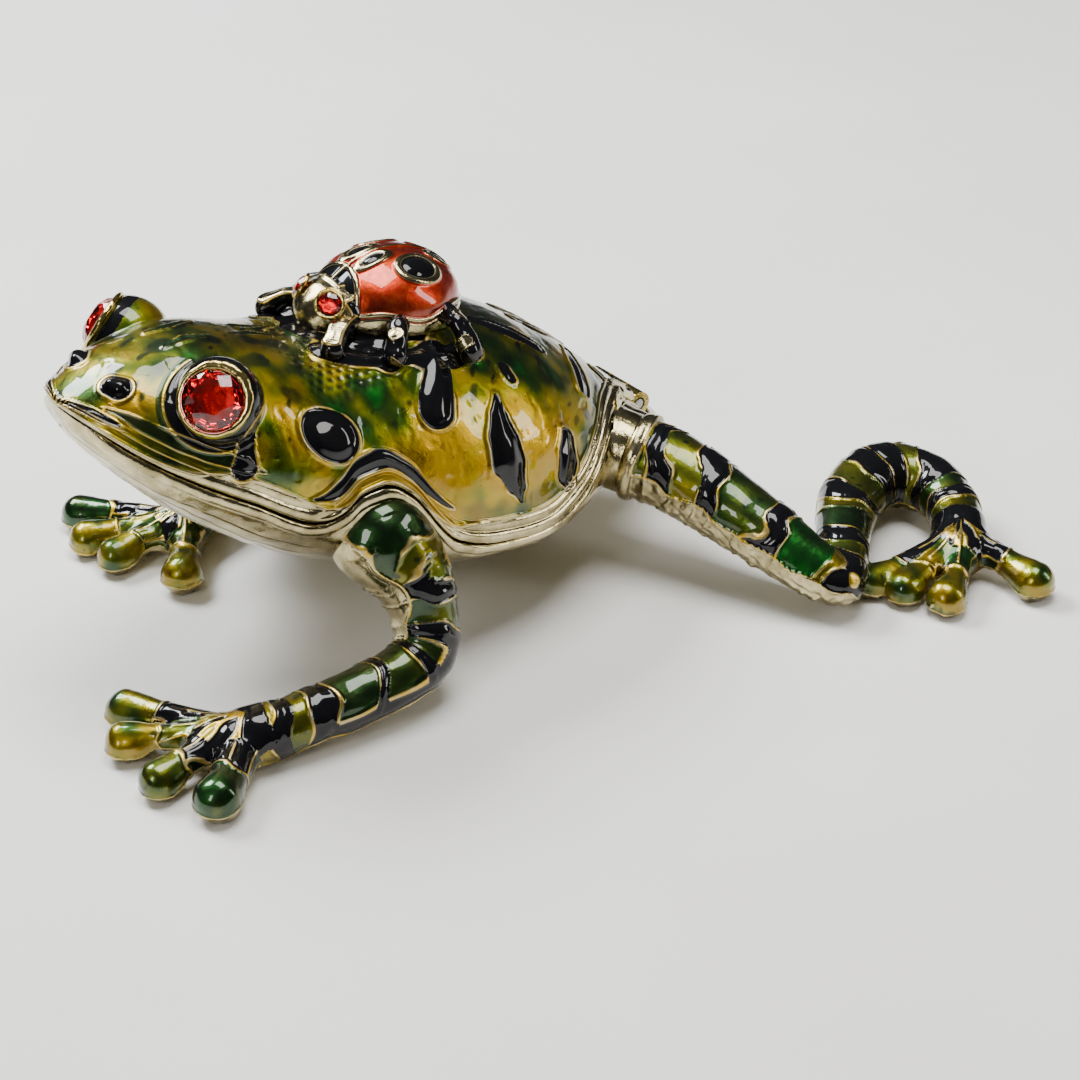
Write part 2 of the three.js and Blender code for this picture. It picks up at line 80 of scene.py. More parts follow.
EYE_SEAT = 2.3          # from the eyeball's centre to the crystal's girdle
SOCKET_FLOOR, SOCKET_RADIUS = 1.75, 2.5
EYE_RING, RING_LINE = (2.7, 3.55), 3.66      # black ring round the socket, and the gold line round that


def unit(vectors):
    return vectors / np.maximum(np.linalg.norm(vectors, axis=-1, keepdims=True), 1e-9)


def smoothed_profile(stations, blur=0.9, step=0.05):
    """Function of x through the stations, rounded over about blur mm so that reflections flow."""
    x, v = np.array(stations, float).T
    slope = np.diff(v) / np.diff(x)
    tangent = np.zeros(len(x))
    tangent[0], tangent[-1] = slope[0], slope[-1]
    for i in range(1, len(x) - 1):
        same_sign = slope[i - 1] * slope[i] > 0
        tangent[i] = 2 * slope[i - 1] * slope[i] / (slope[i - 1] + slope[i]) if same_sign else 0
    fine = np.arange(x[0], x[-1] + step, step)
    i = np.clip(np.searchsorted(x, fine, side="right") - 1, 0, len(x) - 2)
    span = x[i + 1] - x[i]
    t = np.clip((fine - x[i]) / span, 0, 1)
    rise = v[i + 1] - v[i]
    bend = (tangent[i] * (1 - t) - tangent[i + 1] * t) * span - rise * (1 - 2 * t)
    value = v[i] + rise * t + t * (1 - t) * bend
    # The blur narrows towards both ends, where the form closes and must keep its place.
    reach = np.minimum(fine - fine[0], fine[-1] - fine)
    width = np.minimum(blur, reach / 3)
    smooth = np.empty_like(value)
    for k, (centre, sigma) in enumerate(zip(fine, width)):
        if sigma < step:
            smooth[k] = value[k]
            continue
        n = int(3 * sigma / step)
        lo, hi = max(k - n, 0), min(k + n + 1, len(fine))
        weight = np.exp(-0.5 * ((fine[lo:hi] - centre) / sigma) ** 2)
        smooth[k] = (value[lo:hi] * weight).sum() / weight.sum()
    return lambda q: np.interp(q, fine, smooth)


back_z = smoothed_profile(BACK_Z)
belly_z = smoothed_profile(BELLY_Z)
half_width = smoothed_profile(HALF_WIDTH)
widest_z = smoothed_profile(WIDEST_Z, 1.5)
low_power = smoothed_profile(LOW_POWER, 2.0)
seam_z = smoothed_profile(SEAM, 0.35)


def heights(x, offset=0.0):
    """Lowest, widest and highest z of the section at x."""
    low = belly_z(x) - offset
    high = back_z(x) + offset
    return low, np.clip(widest_z(x), low + 0.01, high - 0.01), high


def section(x, angle, offset=0.0):
    """Points of the body's cross-section at x; angle 0 is the right side and pi/2 the top."""
    low, middle, high = heights(x, offset)
    wide = np.maximum(half_width(x) + offset, 0.02)
    power = np.where(np.sin(angle) > 0, TOP_POWER, low_power(x))
    across = np.sign(np.cos(angle)) * np.abs(np.cos(angle)) ** (2 / power)
    along = np.sign(np.sin(angle)) * np.abs(np.sin(angle)) ** (2 / power)
    reach = np.where(along > 0, high - middle, middle - low)
    return np.stack([x + 0 * angle, wide * across, middle + reach * along], -1)


def seam_angle(x, z, offset=0.0):
    """Angle on the right side at which the section at x has height z."""
    low, middle, high = heights(x, offset)
    up = z >= middle
    share = np.where(up, (z - middle) / (high - middle), (z - middle) / (middle - low))
    share = np.clip(share, -1, 1)
    power = np.where(up, TOP_POWER, low_power(x))
    return np.arcsin(np.sign(share) * np.abs(share) ** (power / 2))


def body_patch(xs, start, end, columns, offset=0.0, crowd=0.0):
    """Grid of points over the section arcs from angle start to end, evenly spaced by arc length.

    crowd > 0 packs columns towards both edges. Returns the points, and their arc from the middle and from the
    nearer edge.
    """
    fine = np.linspace(0, 1, 301)
    t = np.linspace(0, 1, columns)
    t = t - crowd * np.sin(2 * np.pi * t) / (2 * np.pi)
    angles = start[:, None] + (end - start)[:, None] * fine[None]
    dense = section(xs[:, None] + 0 * angles, angles, offset)
    length = np.concatenate([np.zeros((len(xs), 1)),
                             np.cumsum(np.linalg.norm(np.diff(dense, axis=1), axis=2), 1)], 1)
    points = np.empty((len(xs), columns, 3))
    arc = np.empty((len(xs), columns))
    middle = np.empty(len(xs))
    for row in range(len(xs)):
        arc[row] = t * length[row, -1]
        angle = np.interp(arc[row], length[row], angles[row])
        points[row] = section(xs[row] + 0 * angle, angle, offset)
        middle[row] = np.interp(math.pi / 2, np.sort(angles[row]), length[row] if start[row] < end[row]
                                else length[row][::-1])
    edge = np.minimum(arc, arc[:, -1:] - arc)
    return points, arc - middle[:, None], edge


def rows_along_back(first, last, count):
    """x stations spaced evenly along the dorsal line."""
    fine = np.linspace(first, last, 4000)
    run = np.concatenate([[0], np.cumsum(np.hypot(np.diff(fine), np.diff(back_z(fine))))])
    return np.interp(np.linspace(0, run[-1], count), run, fine)


def grid_normals(points):
    return unit(np.cross(np.gradient(points, axis=1), np.gradient(points, axis=0)))


def smoothstep(low, high, value):
    t = np.clip((value - low) / (high - low), 0, 1)
    return t * t * (3 - 2 * t)


def grid_faces(rows, columns, start=0, flip=False, close_columns=False):
    i, j = np.meshgrid(np.arange(rows - 1), np.arange(columns if close_columns else columns - 1), indexing="ij")
    nxt = (j + 1) % columns
    quads = np.stack([i * columns + j, (i + 1) * columns + j, (i + 1) * columns + nxt, i * columns + nxt], -1)
    quads = quads.reshape(-1, 4) + start
    return quads[:, ::-1] if flip else quads


def make_mesh(name, points, faces, fields=None, smooth=True):
    """Object from mm points in frog coordinates, with float vertex attributes."""
    mesh = bpy.data.meshes.new(name)
    faces = faces.tolist() if isinstance(faces, np.ndarray) else faces
    mesh.from_pydata(((np.asarray(points, float) + ORIGIN) * MM).tolist(), [], faces)
    for key, values in (fields or {}).items():
        layer = mesh.attributes.new(key, "FLOAT", "POINT")
        layer.data.foreach_set("value", np.asarray(values, np.float32).ravel())
    mesh.polygons.foreach_set("use_smooth", [smooth] * len(mesh.polygons))
    mesh.update()
    piece = bpy.data.objects.new(name, mesh)
    bpy.context.scene.collection.objects.link(piece)
    return piece


# ---------- cell drawings ----------
def blob_distance(u, v, spine):
    """Signed distance, positive inside, to a rounded shape along a spine of (u, v, radius) stops."""
    best = np.full(np.shape(u), -np.inf)
    for (u0, v0, r0), (u1, v1, r1) in zip(spine[:-1], spine[1:]):
        du, dv = u1 - u0, v1 - v0
        t = np.clip(((u - u0) * du + (v - v0) * dv) / max(du * du + dv * dv, 1e-9), 0, 1)
        radius = r0 + (r1 - r0) * t
        best = np.maximum(best, radius - np.hypot(u - u0 - t * du, v - v0 - t * dv))
    return best


def wavy(points, scale, seed):
    """Smooth noise in about -1..1 from a few seeded plane waves, scale in mm."""
    rng = np.random.RandomState(seed)
    total = np.zeros(points.shape[:-1])
    for _ in range(12):
        direction = rng.normal(size=3)
        direction *= 2 * math.pi / (scale * rng.uniform(0.7, 1.6)) / np.linalg.norm(direction)
        total += np.sin(points @ direction + rng.uniform(0, 2 * math.pi))
    return total / 4.0


# Black cells on the lid as (x, arc from the dorsal line, radius) spines, the same on both sides.
NOSTRIL = [(-6.3, 2.4, 0.85), (-5.95, 3.05, 0.95)]
CHEEK = [(7.2, 10.9, 2.15), (7.45, 11.05, 2.15)]
TEAR = [(1.0, 8.8, 0.7), (0.75, 10.3, 0.72), (0.45, 11.4, 0.62), (0.1, 12.5, 1.0)]
DROP = [(19.2, 6.2, 0.85), (18.1, 8.4, 1.15), (17.1, 10.2, 1.45), (16.6, 11.2, 1.45)]
LENS = [(22.3, 11.0, 0.3), (21.9, 12.6, 0.95), (21.6, 14.4, 1.5), (21.6, 16.2, 1.6), (21.9, 18.0, 1.0),
        (22.2, 19.4, 0.25)]
OVAL = [(28.3, 13.8, 0.75), (27.7, 15.6, 1.05), (27.1, 17.5, 0.8)]
BACK_CELLS = [
    [(24.6, 3.6, 0.5), (26.6, 4.4, 0.9), (29.4, 5.6, 0.7)],
    [(34.0, 3.6, 0.5), (33.2, 6.0, 0.85), (32.3, 8.6, 0.6)],
    [(37.2, 3.4, 0.6), (38.2, 4.7, 0.7)],
    [(30.2, 1.2, 0.4), (32.6, 1.6, 0.6), (35.0, 1.1, 0.35)],
    [(24.2, 8.6, 0.45), (24.5, 9.6, 0.5)],
]
NOSE_BAND = [(-9.3, 1.15, 0.35), (-8.2, 1.5, 0.5), (-7.2, 1.7, 0.25)]
HEAD_FLECKS = [
    [(-1.2, 1.4, 0.15), (0.6, 1.2, 0.4), (2.6, 1.6, 0.15)],
    [(4.4, 0.9, 0.1), (6.4, 0.7, 0.35), (8.6, 1.0, 0.1)],
]
POOL = [(10.6, 3.9, 1.1), (13.5, 5.6, 1.0), (17.0, 6.6, 0.9), (20.5, 7.2, 1.1), (22.6, 7.0, 0.8)]
LIP_BAND = [(-7.4, 2.6, 0.15), (-6.2, 2.7, 0.5), (-2.6, 2.8, 0.75), (0.2, 2.9, 0.5), (1.4, 2.9, 0.1)]
ARCH_BAND = [(4.8, 1.9, 0.15), (6.8, 1.95, 0.62), (10.3, 2.0, 0.80), (13.2, 2.05, 0.78), (15.8, 2.6, 0.15)]
RIM_HEIGHT = [(-9.6, 0.45), (-6, 0.55), (-3.2, 0.8), (-1.0, 1.9), (3.5, 2.1), (5.6, 1.2), (7.2, 0.3), (13, 0.3),
              (15.2, 0.8), (18, 1.9), (27, 2.1), (33, 2.3), (41, 1.6)]
rim_height = smoothed_profile(RIM_HEIGHT, 0.8)
# Where the lid's enamel turns green (above 0) or amber: (amount, x, arc from the dorsal line, spread in each).
GREEN_PATCHES = [(0.55, 12, 8.5, 6, 3.2), (0.6, 25, 7.5, 5, 3.4), (0.5, 3, 14.0, 3.0, 1.8),
                 (-0.9, 17.5, 15.5, 6, 4.2), (-0.9, 4.6, 10.0, 1.8, 2.8), (-0.8, -6.2, 4.2, 1.8, 1.6),
                 (-0.6, 26, 12, 3.5, 2.5)]
POOL_CENTRE, POOL_SIZE = 16.5, (6.6, 5.2)       # black enamel under the ladybird
SCALE_PITCH = (0.8, 0.7)
ARCH_LINE, LIP_LINE = 1.12, 1.25                # gold lines along the seam, from its edge


def eye_frame(side):
    return EYE_CENTRE * MIRROR[side], EYE_FACING * MIRROR[side]


def swell(points, centre, radius, blend=0.35):
    """Pushes points inside a ball out to its surface, with a soft fillet."""
    away = points - centre
    distance = np.linalg.norm(away, axis=-1, keepdims=True)
    h = np.clip((distance - radius) / (2 * blend) + 0.5, 0, 1)
    target = distance * h + radius * (1 - h) + blend * h * (1 - h)
    return centre + away / np.maximum(distance, 1e-6) * target


def bead(distance, centre, half):
    return np.sqrt(np.clip(1 - ((distance - centre) / half) ** 2, 0, None))


# ---------- lid and base shells ----------
GROOVE = 1.42
MAGNET_X, MAGNET_TILT = -4.1, math.radians(38)
POCKET = 2.25
POCKET_DEPTH = 1.9
PARTING_STEPS, LINING_COLUMNS = 44, 90
CAP_CURVE = ((0.96, 0.18), (0.88, 0.28), (0.5, 0.3), (0.0, 0.0))     # (share of the end's size, bulge)
BARE = {"metal": 1.0, "line": FAR, "black": -FAR, "deep": -FAR}      # fields on plain metal
LID_X, LID_GRID = (-9.52, 41.58), (400, 320)
BASE_X, BASE_GRID = (-9.42, 40.7), (380, 260)
BASE_TAIL = ((40.76, 43.6, 36), (43.6, 46.12, 24))      # finer rows across the hinge groove and at the tip
EDGE_CROWD = 0.55
# Bulge of the base round each thigh root, ending ahead of the hinge groove.
HIP = np.array([37.2, 7.2, 9.4])
HIP_SIZE = np.array([3.2, 3.5, 3.5])


def groove_reach(xs):
    """Half height of the hinge groove at x, and 0 beyond it."""
    return np.sqrt(np.clip(GROOVE ** 2 - (xs - HINGE[0]) ** 2, 0, None))


def lid_edge_z(xs):
    """Height of the lid's lower edge: the seam, then over the hinge barrel."""
    edge = seam_z(xs) + SEAM_GAP / 2
    reach = groove_reach(xs)
    edge = np.where(reach > 0, np.maximum(edge, HINGE[2] + reach), edge)
    return np.clip(edge, belly_z(xs) + 0.05, back_z(xs) - 0.02)


def base_edge_z(xs):
    """Height of the base's upper edge: the seam, then under the hinge barrel and up to the rump's top."""
    edge = np.where(xs < HINGE[0], seam_z(xs) - SEAM_GAP / 2, np.inf)
    reach = groove_reach(xs)
    edge = np.where(reach > 0, np.minimum(edge, HINGE[2] - reach), edge)
    return np.clip(edge, belly_z(xs) + 0.02, back_z(xs))


def shell(name, xs, outer, fields, edge_z, lid):
    """Closed casting from its outer skin, with end caps, the parting face and its pocket, and the lining."""
    up = 1 if lid else -1
    edges = edge_z(xs)
    parts, faces, count = [], [], 0

    def add(grid, flip):
        nonlocal count
        rows, columns = grid.shape[:2]
        parts.append(grid.reshape(-1, 3))
        faces.append(grid_faces(rows, columns, count, flip))
        count += rows * columns

    middle = np.stack([xs, 0 * xs, edges], -1)
    tip = np.repeat(middle[:1, None], outer.shape[1], 1)
    tail = np.repeat(middle[-1:, None], outer.shape[1], 1)
    add(np.concatenate([tip, outer, tail]), flip=lid)
    outer_count = count
    inside = (xs > CAVITY_X[0]) & (xs < CAVITY_X[1])
    lowest, highest = belly_z(xs) + WALL + 0.02, back_z(xs) - WALL - 0.02
    inner_angle = seam_angle(xs, np.clip(edges, lowest, highest), -WALL)
    inner = section(xs, inner_angle, -WALL)
    inner_y = np.where(inside, inner[:, 1], 0)
    t = np.linspace(0, 1, PARTING_STEPS)[None, :, None]
    for hand in (1, -1):
        outer_edge = outer[:, 0] if hand > 0 else outer[:, -1]
        inner_edge = np.stack([xs, hand * inner_y, edges], -1)
        strip = outer_edge[:, None] * (1 - t) + inner_edge[:, None] * t
        flat = (strip[..., 0] - MAGNET_X) / math.cos(MAGNET_TILT)
        pocket = np.hypot(flat, strip[..., 1]) < POCKET
        strip[..., 2] += up * np.where(pocket, POCKET_DEPTH, 0)
        add(strip, flip=(hand > 0) != lid)
    rows = np.flatnonzero(inside)
    start = inner_angle[rows]
    lining, _, _ = body_patch(xs[rows], start, up * math.pi - start, LINING_COLUMNS, -WALL)
    caps = []
    for k, step in ((0, -1), (-1, 1)):
        point = middle[rows[k] + step]
        caps.append([point + (lining[k] - point) * share + np.array([step * bulge, 0, 0])
                     for share, bulge in CAP_CURVE])
    add(np.concatenate([caps[0][::-1], lining, caps[1]]), flip=not lid)
    points = np.concatenate(parts)
    full = {}
    for key, values in fields.items():
        padded = np.concatenate([values[:1], values, values[-1:]]).ravel()
        full[key] = np.concatenate([padded, np.full(count - outer_count, BARE.get(key, 0.0))])
    full["lining"] = np.concatenate([np.zeros(outer_count), np.ones(count - outer_count)])
    return make_mesh(name, points, np.concatenate(faces), full)


def lid_outer():
    rows, columns = LID_GRID
    xs = rows_along_back(*LID_X, rows)
    angle = seam_angle(xs, lid_edge_z(xs))
    points, arc, edge = body_patch(xs, angle, math.pi - angle, columns, crowd=EDGE_CROWD)
    x = points[..., 0]
    across = np.abs(arc)
    outline_wobble = 0.10 * wavy(points, 2.4, 4)
    pits = 0.12 * wavy(points, 1.1, 6)
    black = np.full(x.shape, -np.inf)
    for cell in [NOSTRIL, CHEEK, TEAR, DROP, LENS, OVAL] + BACK_CELLS:
        wobble = outline_wobble * (cell not in (NOSTRIL, CHEEK))
        black = np.maximum(black, blob_distance(x, across, cell) + wobble)
    under_bug = 1 - np.hypot((x - POOL_CENTRE) / POOL_SIZE[0], across / POOL_SIZE[1])
    pool = np.maximum(blob_distance(x, across, POOL), under_bug * 5.0)
    black = np.maximum(black, pool + 0.25 * wavy(points, 2.2, 5))
    black = np.maximum(black, blob_distance(x, edge, NOSE_BAND))
    black = np.maximum(black, blob_distance(x, edge, ARCH_BAND) + 0.5 * outline_wobble)
    deep = blob_distance(x, edge, LIP_BAND) + 0.5 * outline_wobble
    for cell in HEAD_FLECKS:
        deep = np.maximum(deep, blob_distance(x, across, cell))
    metal = np.minimum(rim_height(x) - edge, -blob_distance(x, across, TEAR) - 0.1)
    # Outlines come and go, as where the enamel has flooded a wire.
    flooded = 0.10 * smoothstep(0.1, 0.8, wavy(points, 3.6, 7))
    line = np.minimum(np.abs(black + 0.04), np.abs(metal)) + flooded
    line = np.minimum(line, np.abs(deep + 0.04) + flooded + 0.04)
    arch = smoothstep(5.6, 7.0, x) * smoothstep(16.5, 15.0, x)
    line = np.minimum(line, np.abs(edge - ARCH_LINE) + FAR * (arch < 0.5))
    line = np.minimum(line, np.abs(edge - LIP_LINE) + FAR * (x > -1.5) + 0.03)
    lift = 0.13 * smoothstep(0.24, 0.05, line)
    # Black enamel stands proud of its outline in a soft dome; the skin between is dimpled.
    lift += 0.26 * smoothstep(0.1, 1.2, black)
    lift += 0.45 * smoothstep(0.0, 0.7, blob_distance(x, across, NOSTRIL))
    lift -= 0.025 * smoothstep(0.4, 1.0, pits * 8) * (black < -0.3) * (metal < -0.2)
    # Double bead along the rim; one rounded lip on the mouth and the arch.
    full = smoothstep(14.5, 17.0, x)
    lift += full * (0.34 * bead(edge, 0.5, 0.5) + 0.22 * bead(edge, 1.45, 0.42))
    mouth = smoothstep(6.5, 4.5, x)
    lift += mouth * smoothstep(-9.4, -7.5, x) * (0.30 * bead(edge, 0.55, 0.55) + 0.12 * bead(edge, 1.5, 0.45))
    lift += (1 - full) * (1 - mouth) * (0.22 * bead(edge, 0.2, 0.25) + 0.12 * bead(edge, ARCH_LINE, 0.3))
    # Rows of fine scales behind the head and a few pits lower down.
    v = across / SCALE_PITCH[1]
    row = np.floor(v)
    u = x / SCALE_PITCH[0] + 0.5 * (row % 2)
    scale_cell = np.hypot(u - np.floor(u) - 0.5, v - row - 0.5)
    scales = smoothstep(3.4, 4.6, across) * smoothstep(8.6, 7.0, across) * smoothstep(6.5, 8.5, x)
    scales *= smoothstep(21.5, 19.0, x) * smoothstep(-0.15, -0.4, black)
    lift -= 0.05 * scales * smoothstep(0.42, 0.15, scale_cell)
    lift += 0.05 * wavy(points, 5.0, 3) * smoothstep(0.3, 1.0, -metal)
    points = points + grid_normals(points) * lift[..., None]
    ring = np.full(x.shape, FAR)
    for eye_side in (-1, 1):
        centre, facing = eye_frame(eye_side)
        near = np.linalg.norm(points - centre, axis=-1) < 8
        points[near] = swell(points[near], centre, EYE_RADIUS)
        rel = points - centre
        height = rel @ facing
        radial = np.linalg.norm(rel - height[..., None] * facing, axis=-1)
        # The near socket's black ring runs down onto the head; the far one is only a narrow ring.
        front = (height > (-0.4 if eye_side < 0 else 0.9)) & near
        ring = np.minimum(ring, np.where(front, radial, FAR))
        # The socket: a flat floor under the crystal.
        inside = front & (radial < SOCKET_RADIUS) & (height > SOCKET_FLOOR)
        drop = (height - SOCKET_FLOOR) * smoothstep(SOCKET_RADIUS, SOCKET_RADIUS - 0.25, radial)
        points[inside] -= facing * drop[inside][:, None]
    annulus = np.minimum(ring - EYE_RING[0], EYE_RING[1] - ring)
    black = np.where(ring < 3.7, np.maximum(black, annulus), black)
    line = np.minimum(line, np.abs(ring - RING_LINE) + 0.03)
    deep = np.maximum(deep, np.minimum(ring - 3.72, 4.15 - ring))
    points += grid_normals(points) * (0.10 * smoothstep(0.2, 0.05, np.abs(ring - RING_LINE)))[..., None]
    tear = blob_distance(x, across, TEAR)
    black = np.maximum(black, np.where(tear > -0.3, tear, -FAR))
    line = np.where(tear > 0.10, FAR, line)
    deep = np.where(tear > -0.1, -FAR, deep)
    speck = wavy(points, 1.5, 21) + 0.6 * wavy(points, 0.9, 22)
    green = 0.38 + 0.30 * wavy(points, 6.0, 11) + 0.26 * wavy(points, 2.2, 12)
    for amount, at_x, at_arc, spread_x, spread_arc in GREEN_PATCHES:
        green += amount * np.exp(-((x - at_x) / spread_x) ** 2 - ((across - at_arc) / spread_arc) ** 2)
    low = smoothstep(2.2, 1.0, -metal + 0.5 * wavy(points, 1.6, 14)) * smoothstep(15.5, 17.5, x)
    dark = (smoothstep(6.5, 1.0, across + 1.3 * wavy(points, 4.0, 13)) * (0.50 + 0.35 * smoothstep(20, 25, x))
            + 0.9 * smoothstep(1.05, 1.5, speck) * smoothstep(19, 8, across)
            + 0.65 * smoothstep(0.35, 1.1, wavy(points, 2.8, 15)) * smoothstep(14.5, 7.5, across)
            + 0.55 * low + 0.5 * np.exp(-((ring - 4.6) / 0.9) ** 2))
    dark = np.clip(dark, 0, 0.95)
    on_arch_lip = arch * (edge < ARCH_LINE) > 0.5
    green = np.where(on_arch_lip, -0.15, green)
    dark = np.where(on_arch_lip, 0.05, dark)
    fields = {"black": black, "metal": metal, "line": line, "deep": deep, "green": green, "dark": dark,
              "scale": scales * smoothstep(0.45, 0.2, scale_cell)}
    return xs, points, fields


def base_outer():
    rows, columns = BASE_GRID
    tail = [np.linspace(*stretch)[1:] for stretch in BASE_TAIL]
    xs = np.concatenate([rows_along_back(*BASE_X, rows)] + tail)
    angle = seam_angle(xs, base_edge_z(xs))
    points, _, edge = body_patch(xs, angle, -math.pi - angle, columns, crowd=EDGE_CROWD)
    x = points[..., 0]
    for hand in (-1, 1):
        centre = HIP * MIRROR[hand]
        local = (points - centre) / HIP_SIZE
        near = np.linalg.norm(local, axis=-1) < 1.3
        points[near] = centre + swell(local[near], np.zeros(3), 1.0, 0.10) * HIP_SIZE
    by_hip = (x > 33) & (x < 41)
    points[by_hip, 2] = np.minimum(points[by_hip, 2], base_edge_z(x[by_hip]))
    jaw = smoothstep(6.5, 4.0, x)
    rear = smoothstep(15.5, 18.0, x) * smoothstep(42.0, 40.0, x)
    lift = rear * (0.30 * bead(edge, 0.5, 0.5) + 0.16 * bead(edge, 1.4, 0.4))
    lift += jaw * smoothstep(-9.2, -7.5, x) * 0.34 * bead(edge, 0.6, 0.6)
    lift += (1 - rear) * (1 - jaw) * 0.25 * bead(edge, 0.5, 0.5) * smoothstep(42.0, 40.0, x)
    # Fine chased lines that follow the jaw, then soft hammering underneath.
    chased = np.abs(np.sin(edge * 2.4 + 0.4 * wavy(points, 6.0, 31)))
    lift -= 0.05 * jaw * smoothstep(0.25, 0.05, chased) * smoothstep(1.6, 2.4, edge)
    lift += 0.05 * wavy(points, 3.2, 33) + 0.025 * wavy(points, 1.3, 34)
    points = points - grid_normals(points) * lift[..., None]
    fields = {key: np.full(x.shape, value) for key, value in BARE.items()}
    fields["tarnish"] = jaw * smoothstep(0.3, 0.1, chased) * smoothstep(1.6, 2.4, edge)
    return xs, points, fields


# ---------- limbs ----------
def curve_through(stations, steps=8):
    """Catmull-Rom through (x, y, z, radius) stations."""
    pts = np.array(stations, float)
    ends = np.vstack([2 * pts[0] - pts[1], pts, 2 * pts[-1] - pts[-2]])
    out = []
    for k in range(1, len(ends) - 2):
        a, b, c, d = ends[k - 1:k + 3]
        for t in np.arange(steps) / steps:
            out.append(0.5 * (2 * b + (c - a) * t + (2 * a - 5 * b + 4 * c - d) * t ** 2
                              + (3 * b - a - 3 * c + d) * t ** 3))
    out.append(pts[-1])
    return np.array(out)


RUN_BLEND = 0.35
PULL_ROUNDS, RELAX_ROUNDS = 2, 6
ROOT_DEPTH = -0.75      # limbs end this far inside the body's wall below the seam
LID_CLEAR = 0.55        # and stay this far from the lid above it


def limb_distance(points, path):
    """Distance outside a limb, run along it, and the foot point on its axis."""
    best = np.full(len(points), 1e3)
    run = np.zeros(len(points))
    # Soft weights keep the run even where the axis bends.
    weight = np.full(len(points), 1e-12)
    blended = np.zeros(len(points))
    foot = np.zeros((len(points), 3))
    travelled = 0.0
    for a, b in zip(path[:-1], path[1:]):
        axis = b[:3] - a[:3]
        length = np.linalg.norm(axis)
        t = np.clip((points - a[:3]) @ axis / length ** 2, 0, 1)
        nearest = a[:3] + t[:, None] * axis
        distance = np.linalg.norm(points - nearest, axis=1) - (a[3] + t * (b[3] - a[3]))
        closer = distance < best
        best[closer] = distance[closer]
        run[closer] = travelled + t[closer] * length
        foot[closer] = nearest[closer]
        share = np.exp(-np.clip(distance, -5, 40) / RUN_BLEND)
        weight += share
        blended += share * (travelled + t * length)
        travelled += length
    return best, np.where(best < 4, blended / weight, run), foot


def smooth_union(a, b, soft):
    h = np.clip(0.5 + 0.5 * (b - a) / soft, 0, 1)
    return b * (1 - h) + a * h - soft * h * (1 - h)


def body_distance(points):
    """Rough distance outside the body form."""
    x, y, z = points.T
    low, middle, high = heights(x)
    wide = np.maximum(half_width(x), 0.5)
    reach = np.maximum(np.where(z > middle, high - middle, middle - low), 0.05)
    power = np.where(z > middle, TOP_POWER, low_power(x))
    level = ((np.abs(y) / wide) ** power + (np.abs(z - middle) / reach) ** power) ** (1 / power)
    radius = np.hypot(y, z - middle)
    return radius * (1 - 1 / np.maximum(level, 1e-3))


def limbs_distance(points, paths, soft, clear):
    total = limb_distance(points, paths[0])[0]
    for path in paths[1:]:
        total = smooth_union(total, limb_distance(points, path)[0], soft)
    if clear is not None:
        above = smoothstep(-0.5, 0.0, points[:, 2] - seam_z(points[:, 0]))
        total = np.maximum(total, ROOT_DEPTH + (clear - ROOT_DEPTH) * above - body_distance(points))
    return total


def tube_mesh(path, sides=20):
    """Closed tube round a path with hemispherical ends, as rough stock for the remesh."""
    rings = []
    tangents = np.gradient(path[:, :3], axis=0)
    tangents /= np.linalg.norm(tangents, axis=1, keepdims=True)
    up = np.array([0.0, 0.0, 1.0])
    if abs(tangents[0] @ up) > 0.9:
        up = np.array([1.0, 0.0, 0.0])

    def dome(end, sign, degrees):
        centre, radius = path[end, :3], path[end, 3]
        return [(centre + sign * tangents[end] * radius * math.sin(a), tangents[end], radius * math.cos(a))
                for a in np.radians(degrees)]

    along = [(p[:3], t, p[3]) for p, t in zip(path, tangents)]
    stations = dome(0, -1, [85, 60, 30]) + along + dome(-1, 1, [30, 60, 85])
    across = np.cross(stations[0][1], up)
    for centre, tangent, radius in stations:
        across = across - tangent * (across @ tangent)
        across /= np.linalg.norm(across)
        over = np.cross(tangent, across)
        angle = np.linspace(0, 2 * math.pi, sides, endpoint=False)[:, None]
        rings.append(centre + radius * (np.cos(angle) * across + np.sin(angle) * over))
    points = np.concatenate(rings)
    faces = grid_faces(len(rings), sides, close_columns=True).tolist()
    faces.append(list(range(sides)))
    faces.append(list(range(len(points) - sides, len(points)))[::-1])
    return points, faces


def remeshed_limbs(paths, voxel, soft, clear=None):
    """Even mesh over the smooth union of limbs: (points, faces, outward normals), mm."""
    bm = bmesh.new()
    for path in paths:
        points, faces = tube_mesh(path)
        verts = [bm.verts.new(p) for p in points]
        for face in faces:
            bm.faces.new([verts[i] for i in face])
    bmesh.ops.recalc_face_normals(bm, faces=bm.faces)
    mesh = bpy.data.meshes.new("stock")
    bm.to_mesh(mesh)
    bm.free()
    stock = bpy.data.objects.new("stock", mesh)
    bpy.context.scene.collection.objects.link(stock)
    remesh = stock.modifiers.new("remesh", "REMESH")
    remesh.mode = "VOXEL"
    remesh.voxel_size = voxel
    evaluated = stock.evaluated_get(bpy.context.evaluated_depsgraph_get())
    shape = evaluated.to_mesh()
    points = np.empty(len(shape.vertices) * 3)
    shape.vertices.foreach_get("co", points)
    points = points.reshape(-1, 3)
    faces = [list(p.vertices) for p in shape.polygons]
    evaluated.to_mesh_clear()
    bpy.data.objects.remove(stock)
    bpy.data.meshes.remove(mesh)
    for _ in range(PULL_ROUNDS):
        level, gradient = level_and_gradient(points, paths, soft, clear)
        points = points - gradient * level[:, None]
    points = relaxed(points, faces, RELAX_ROUNDS)
    _, gradient = level_and_gradient(points, paths, soft, clear)
    return points, faces, gradient


